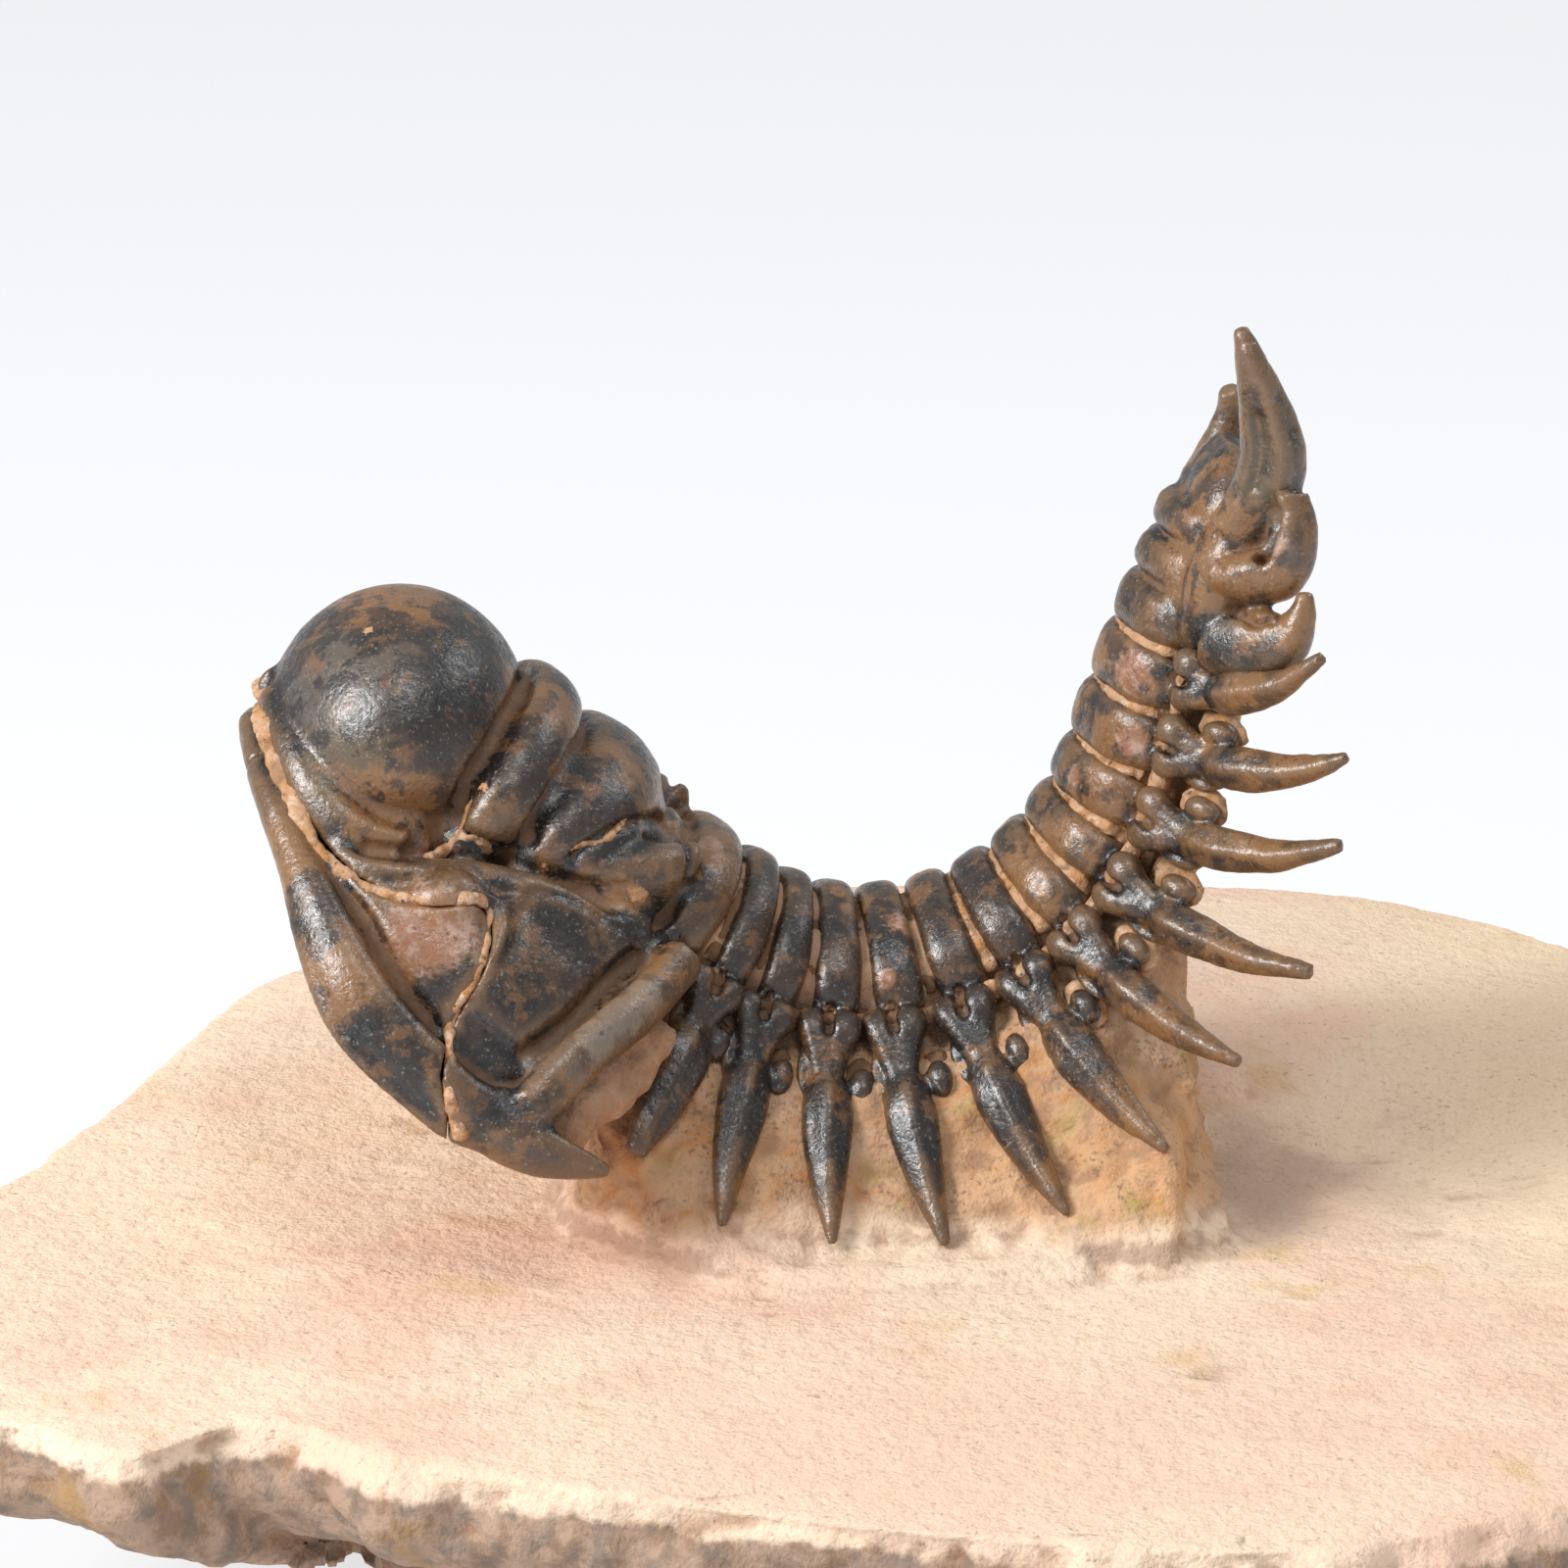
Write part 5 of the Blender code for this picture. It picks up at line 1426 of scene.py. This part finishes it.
def shell_material():
    """Calcite shell: black to brown, finely grained, with matrix left in its hollows."""
    if "fossil shell" in bpy.data.materials:
        return bpy.data.materials["fossil shell"]
    look = bpy.context.scene.fossil_shell
    material, graph, shader = new_material("fossil shell")
    fine = graph.patches(0.35, 0.42, 0.62, 3.0)
    middle = graph.patches(1.3, 0.46, 0.64, 8.0)
    broad = graph.patches(5.0, 0.48, 0.58, 5.0)
    grain = graph.patches(0.22, 0.6, 0.7, 21.0)
    ink = graph.zone("ink", middle, 0.3, 0.6, 1.8)
    flush = graph.over((0.3, 0.13, 0.065), middle["Mask"], (0.5, 0.33, 0.25))
    # Raised places are worn brown, less so where the shell is black
    worn = graph.step(graph.maths("MULTIPLY", graph.attribute("cavity"), -1.0), 0.15, 0.8)
    worn = graph.maths("MULTIPLY", worn, graph.maths("MULTIPLY_ADD", ink, -0.8, 1.0))
    pocket = graph.zone("cavity", fine, 0.4, 0.75)
    skin = graph.zone("matrix_skin", fine, 0.55, 0.85, 2.6)
    crust = graph.over(look.matrix, middle["Mask"], (0.72, 0.34, 0.16))
    colour = graph.stack(
        look.black,
        (broad["Mask"], look.brown, 1.0),
        (middle["Mask"], (0.07, 0.04, 0.02), 0.45),
        (graph.zone("grey", middle, 0.35, 0.75), look.grey, 0.8),
        (graph.zone("olive", middle, 0.35, 0.75), (0.115, 0.082, 0.045), 0.85),
        (graph.zone("brown", middle, 0.35, 0.7), (0.24, 0.112, 0.038), 0.9),
        (graph.blots(2.0, 0.5, 0.57, 61.0, detail=5.0), look.black, 0.75),
        (ink, look.black, 0.75),
        (graph.blots(1.7, 0.55, 0.64, 77.0, detail=6.0), (0.22, 0.1, 0.035), 0.55),
        (graph.zone("rose", fine, 0.3, 0.8), flush, 0.9),
        # Painted highlight: a pale streak along the rear border ridge
        (graph.zone("glaze", middle, 0.35, 0.8), (0.46, 0.41, 0.36), 0.35),
        # Pale and dark grains
        (grain["Mask"], (0.34, 0.29, 0.24), 0.55),
        (graph.blots(0.5, 0.6, 0.7, 31.0), (0.006, 0.005, 0.005), 0.6),
        (worn, (0.25, 0.135, 0.06), 0.55),
        (pocket, (0.2, 0.1, 0.045), 0.7),
        (skin, crust, 1.0),
    )
    graph.feed(shader.inputs["Base Color"], colour)
    dull = graph.maths("MULTIPLY", graph.maths("MAXIMUM", skin, pocket), 0.4)
    rough = graph.maths("ADD", graph.maths("MULTIPLY_ADD", fine["Mask"], 0.16, 0.25), dull)
    graph.feed(shader.inputs["Roughness"], rough)
    shader.inputs["Specular IOR Level"].default_value = 0.85
    height = graph.maths("MULTIPLY", fine["Noise"], 0.6)
    height = graph.maths("MULTIPLY_ADD", middle["Noise"], 0.5, height)
    height = graph.maths("MULTIPLY_ADD", grain["Noise"], 0.4, height)
    bump = graph.node("Bump", {"Height": height, "Strength": 1.0, "Distance": look.grain})
    graph.feed(shader.inputs["Normal"], bump.outputs["Normal"])
    return material


def stone_material():
    """Sandy limestone: peach with pink and ochre zones, grey-brown flecks and a darker rim that is
    partly painted shade; painted shade also darkens hollows, creases, beds, gaps and the
    pedestal's foot, and a painted shadow lies beside the pedestal.
    """
    if "matrix stone" in bpy.data.materials:
        return bpy.data.materials["matrix stone"]
    look = bpy.context.scene.fossil_stone
    material, graph, shader = new_material("matrix stone")
    broad = graph.patches(22.0, 0.42, 0.62, 2.0)
    middle = graph.patches(6.0, 0.45, 0.65, 7.0)
    fine = graph.patches(1.2, 0.45, 0.65, 12.0)
    sand = graph.patches(0.3, 0.4, 0.6, 17.0)
    grains = graph.patches(0.4, 0.62, 0.7, 37.0)
    crumbs = graph.blots(0.32, 0.5, 0.66, 57.0, detail=5.0)
    crumbs = graph.maths("MULTIPLY", crumbs, graph.blots(2.6, 0.4, 0.62, 63.0))
    # Pedestal: more orange, with dark pits and crumbs
    pedestal = graph.stack(
        (0.52, 0.31, 0.17),
        (fine["Mask"], (0.5, 0.23, 0.085), 1.0),
        (middle["Mask"], (0.58, 0.38, 0.26), 0.7),
        (graph.zone("gold", middle, 0.3, 0.9), (0.74, 0.41, 0.19), 0.42),
        (graph.blots(3.0, 0.58, 0.7, 51.0), (0.42, 0.3, 0.1), 0.8),
        (graph.blots(1.8, 0.5, 0.68, 59.0), (0.26, 0.13, 0.07), 0.6),
        (crumbs, (0.14, 0.08, 0.05), 0.75),
        # Painted shade on the corner beds and on the filling between the resting rings
        (graph.zone("bed", fine, 0.2, 0.9), (0.3, 0.17, 0.115), 0.65),
    )
    # Broken rim, with grey and rusty stains; its dark base colour is partly painted shade on the
    # side faces
    broken = graph.stack(
        look.rim,
        (fine["Mask"], (0.3, 0.19, 0.12), 1.0),
        (graph.blots(1.6, 0.42, 0.66, 41.0), (0.17, 0.14, 0.12), 0.7),
        (graph.blots(5.0, 0.55, 0.68, 47.0), (0.38, 0.22, 0.08), 0.8),
    )
    # Thin matrix: pale, and painted dark between the front rings as shade in the narrow gaps
    film = graph.attribute("film")
    tone = graph.stack(
        look.film,
        (fine["Mask"], (0.5, 0.24, 0.09), 1.0),
        (graph.blots(0.7, 0.52, 0.66, 67.0), (0.74, 0.54, 0.4), 0.7),
        (graph.blots(0.9, 0.48, 0.62, 71.0), (0.24, 0.13, 0.07), 0.6),
        (grains["Mask"], (0.14, 0.08, 0.05), 1.0),
    )
    # Painted shade: the dark brown of the films between the front rings
    tone = graph.over((0.2, 0.11, 0.06), graph.step(film, 0.5, 1.0), tone)
    colour = graph.stack(
        look.peach,
        (broad["Mask"], look.pink, 1.0),
        (middle["Mask"], (0.93, 0.76, 0.6), 0.5),
        (graph.blots(9.0, 0.6, 0.72, 23.0), look.ochre, 0.7),
        (graph.zone("blush", middle, 0.2, 1.0), look.pink, 0.8),
        (graph.zone("straw", middle, 0.2, 1.0), (0.92, 0.73, 0.49), 0.6),
        # Fine flecks and small dark grains
        (graph.blots(0.6, 0.54, 0.7, 29.0), (0.5, 0.34, 0.25), 0.25),
        (grains["Mask"], (0.3, 0.2, 0.16), 0.5),
        (sand["Mask"], (0.6, 0.42, 0.28), 0.13),
        (graph.zone("flank", middle, 0.3, 0.8), pedestal, 0.92),
        # Painted shade at the foot of the pedestal
        (graph.zone("foot", fine, 0.35, 0.95, 1.6), (0.32, 0.19, 0.13), 0.6),
        # Painted shadow right of the pedestal, partly darker rock colour
        (graph.zone("hollow", middle, 0.2, 0.9), (0.36, 0.23, 0.17), 0.55),
        # Rim: stains, and painted shade on the side faces
        (graph.zone("rim", fine, 0.25, 0.75), broken, 0.95),
        # Painted shade: darker where the rock's surface lies in hollows and creases
        (graph.step(graph.attribute("cavity"), 0.2, 0.9), (0.4, 0.22, 0.13), 0.5),
        (graph.step(film, 0.1, 0.4), tone, 1.0),
    )
    graph.feed(shader.inputs["Base Color"], colour)
    shader.inputs["Roughness"].default_value = 0.88
    shader.inputs["Specular IOR Level"].default_value = 0.25
    height = graph.maths("MULTIPLY_ADD", sand["Noise"], 0.35, fine["Noise"])
    bump = graph.node("Bump", {"Height": height, "Strength": 0.8, "Distance": 0.4 * MM})
    graph.feed(shader.inputs["Normal"], bump.outputs["Normal"])
    return material


# Stage


def make_camera(azimuth, elevation, distance, target, lens):
    a = math.radians(azimuth)
    e = math.radians(elevation)
    back = Vector((math.sin(a) * math.cos(e), -math.cos(a) * math.cos(e), math.sin(e)))
    right = Vector((math.cos(a), math.sin(a), 0.0))
    up = back.cross(right)
    camera = bpy.data.objects.new("camera", bpy.data.cameras.new("camera"))
    bpy.context.scene.collection.objects.link(camera)
    turn = Matrix((right, up, back)).transposed()
    camera.matrix_world = Matrix.Translation(Vector(target) + back * distance) @ turn.to_4x4()
    camera.data.lens = lens
    camera.data.sensor_width = 36.0
    camera.data.clip_start = 0.01
    camera.data.clip_end = 20.0
    bpy.context.scene.camera = camera


def add_soft_light(name, place, target, size, power):
    light = bpy.data.lights.new(name, "AREA")
    light.energy = power
    light.size = size
    lamp = bpy.data.objects.new(name, light)
    bpy.context.scene.collection.objects.link(lamp)
    lamp.location = place
    aim = Vector(place) - Vector(target)
    lamp.rotation_euler = aim.to_track_quat("Z", "Y").to_euler()


def make_floor():
    deselect_all()
    bpy.ops.mesh.primitive_plane_add(size=8.0, location=(0, 0, 0))
    floor = bpy.context.active_object
    floor.name = "floor"
    paint = bpy.data.materials.new("pale floor")
    paint.use_nodes = True
    shader = shader_of(paint)
    shader.inputs["Base Color"].default_value = (0.3, 0.3, 0.31, 1.0)
    shader.inputs["Roughness"].default_value = 0.9
    shader.inputs["Emission Color"].default_value = (0.99, 1.0, 1.02, 1.0)
    shader.inputs["Emission Strength"].default_value = 0.68
    floor.data.materials.append(paint)


def make_stage(settings):
    make_camera(azimuth=-5.0, elevation=17.0, distance=0.300, target=(0.0, 0.0, 0.043),
                lens=128.3)
    make_floor()
    world = bpy.data.worlds.new("studio")
    bpy.context.scene.world = world
    world.use_nodes = True
    sky = world.node_tree.nodes["Background"]
    sky.inputs["Color"].default_value = (0.96, 0.98, 1.0, 1.0)
    sky.inputs["Strength"].default_value = settings.ambient
    middle = (0.0, 0.0, 0.03)
    add_soft_light("key light", (-0.4, -0.17, 0.33), middle, settings.key_size, settings.key_power)
    add_soft_light("top light", (0.03, -0.2, 0.5), middle, 0.13, settings.top_power)
    add_soft_light("back light", (0.3, 0.14, 0.36), middle, 0.12, settings.back_power)
    bpy.context.scene.view_settings.view_transform = "Standard"


# Add-on layout


def colour_setting(name, description, default):
    return bpy.props.FloatVectorProperty(
        name=name, description=description, default=default, subtype="COLOR", min=0.0, max=1.0
    )


def size_setting(name, description, default):
    return bpy.props.FloatProperty(
        name=name, description=description, default=default, min=0.0, unit="LENGTH", precision=6
    )


def power_setting(name, description, default):
    return bpy.props.FloatProperty(
        name=name, description=description, default=default, min=0.0, unit="POWER"
    )


class ShellSettings(bpy.types.PropertyGroup):
    grain: size_setting("Grain", "Height of the fine grain on the shell", 0.08 * MM)
    wear: size_setting("Wear", "Height of the worn unevenness of the shell", 0.055 * MM)
    black: colour_setting("Black", "Darkest colour of the shell", (0.011, 0.01, 0.011))
    brown: colour_setting("Brown", "Broad brown clouds of the shell", (0.13, 0.066, 0.026))
    grey: colour_setting("Grey", "Pale worn patches of the shell", (0.105, 0.09, 0.074))
    matrix: colour_setting("Matrix", "Specks of matrix on the shell", (0.5, 0.27, 0.13))


class StoneSettings(bpy.types.PropertyGroup):
    chips: size_setting("Chips", "Depth of the breaks in the rock's rim", 1.3 * MM)
    film_depth: size_setting("Film depth", "How far thin matrix lies under the shell", 0.24 * MM)
    peach: colour_setting("Peach", "Main colour of the rock", (0.92, 0.72, 0.535))
    pink: colour_setting("Pink", "Pink zones of the rock", (0.89, 0.61, 0.455))
    ochre: colour_setting("Ochre", "Yellow spots of the rock", (0.76, 0.53, 0.28))
    film: colour_setting("Film", "Thin matrix along the sutures", (0.56, 0.33, 0.19))
    rim: colour_setting("Rim", "Broken edge of the rock", (0.42, 0.28, 0.2))


class StageSettings(bpy.types.PropertyGroup):
    key_size: size_setting("Key size", "Width of the softbox at the left", 0.2)
    key_power: power_setting("Key light", "Power of the softbox at the left", 2.5)
    top_power: power_setting("Top light", "Power of the softbox overhead", 0.5)
    back_power: power_setting("Back light", "Power of the softbox at the right", 0.25)
    ambient: bpy.props.FloatProperty(
        name="Ambient light", description="Strength of the even light", default=0.45, min=0.0
    )


class FOSSIL_OT_matrix(bpy.types.Operator):
    """Build the block of matrix with the pedestal and the filling of the fossil"""

    bl_idname = "fossil.add_matrix"
    bl_label = "Add matrix block"

    def execute(self, context):
        make_matrix(stone_material())
        return {"FINISHED"}


class FOSSIL_OT_head(bpy.types.Operator):
    """Build the four plates of the head"""

    bl_idname = "fossil.add_head"
    bl_label = "Add head"

    def execute(self, context):
        films = make_head(shell_material())
        make_films(stone_material(), films)
        return {"FINISHED"}


class FOSSIL_OT_thorax(bpy.types.Operator):
    """Build the eleven segments of the thorax"""

    bl_idname = "fossil.add_thorax"
    bl_label = "Add thorax"

    def execute(self, context):
        material = shell_material()
        for index in range(1, THORAX_SEGMENTS + 1):
            make_segment(index, material)
        return {"FINISHED"}


class FOSSIL_OT_tail(bpy.types.Operator):
    """Build the tail with its three pairs of spines"""

    bl_idname = "fossil.add_tail"
    bl_label = "Add tail"

    def execute(self, context):
        make_tail(shell_material())
        return {"FINISHED"}


class FOSSIL_OT_stage(bpy.types.Operator):
    """Set up the floor, the lights and the camera"""

    bl_idname = "fossil.add_stage"
    bl_label = "Add stage"

    def execute(self, context):
        make_stage(context.scene.fossil_stage)
        return {"FINISHED"}


class FOSSIL_PT_panel(bpy.types.Panel):
    """Sidebar panel that lists the pieces"""

    bl_idname = "FOSSIL_PT_panel"
    bl_label = "Trilobite on matrix"
    bl_space_type = "VIEW_3D"
    bl_region_type = "UI"
    bl_category = "Fossil"

    def draw(self, context):
        for operator in OPERATORS:
            self.layout.operator(operator.bl_idname)


OPERATORS = (FOSSIL_OT_matrix, FOSSIL_OT_head, FOSSIL_OT_thorax, FOSSIL_OT_tail, FOSSIL_OT_stage)
SETTINGS = {
    "fossil_shell": ShellSettings,
    "fossil_stone": StoneSettings,
    "fossil_stage": StageSettings,
}
CLASSES = (*SETTINGS.values(), *OPERATORS, FOSSIL_PT_panel)


def register():
    for made in CLASSES:
        bpy.utils.register_class(made)
    for name, group in SETTINGS.items():
        setattr(bpy.types.Scene, name, bpy.props.PointerProperty(type=group))


def unregister():
    for name in SETTINGS:
        delattr(bpy.types.Scene, name)
    for made in reversed(CLASSES):
        bpy.utils.unregister_class(made)


def main():
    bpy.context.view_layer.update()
    register()
    bpy.ops.fossil.add_matrix()
    bpy.ops.fossil.add_head()
    bpy.ops.fossil.add_thorax()
    bpy.ops.fossil.add_tail()
    bpy.ops.fossil.add_stage()


if __name__ == "__main__":
    main()
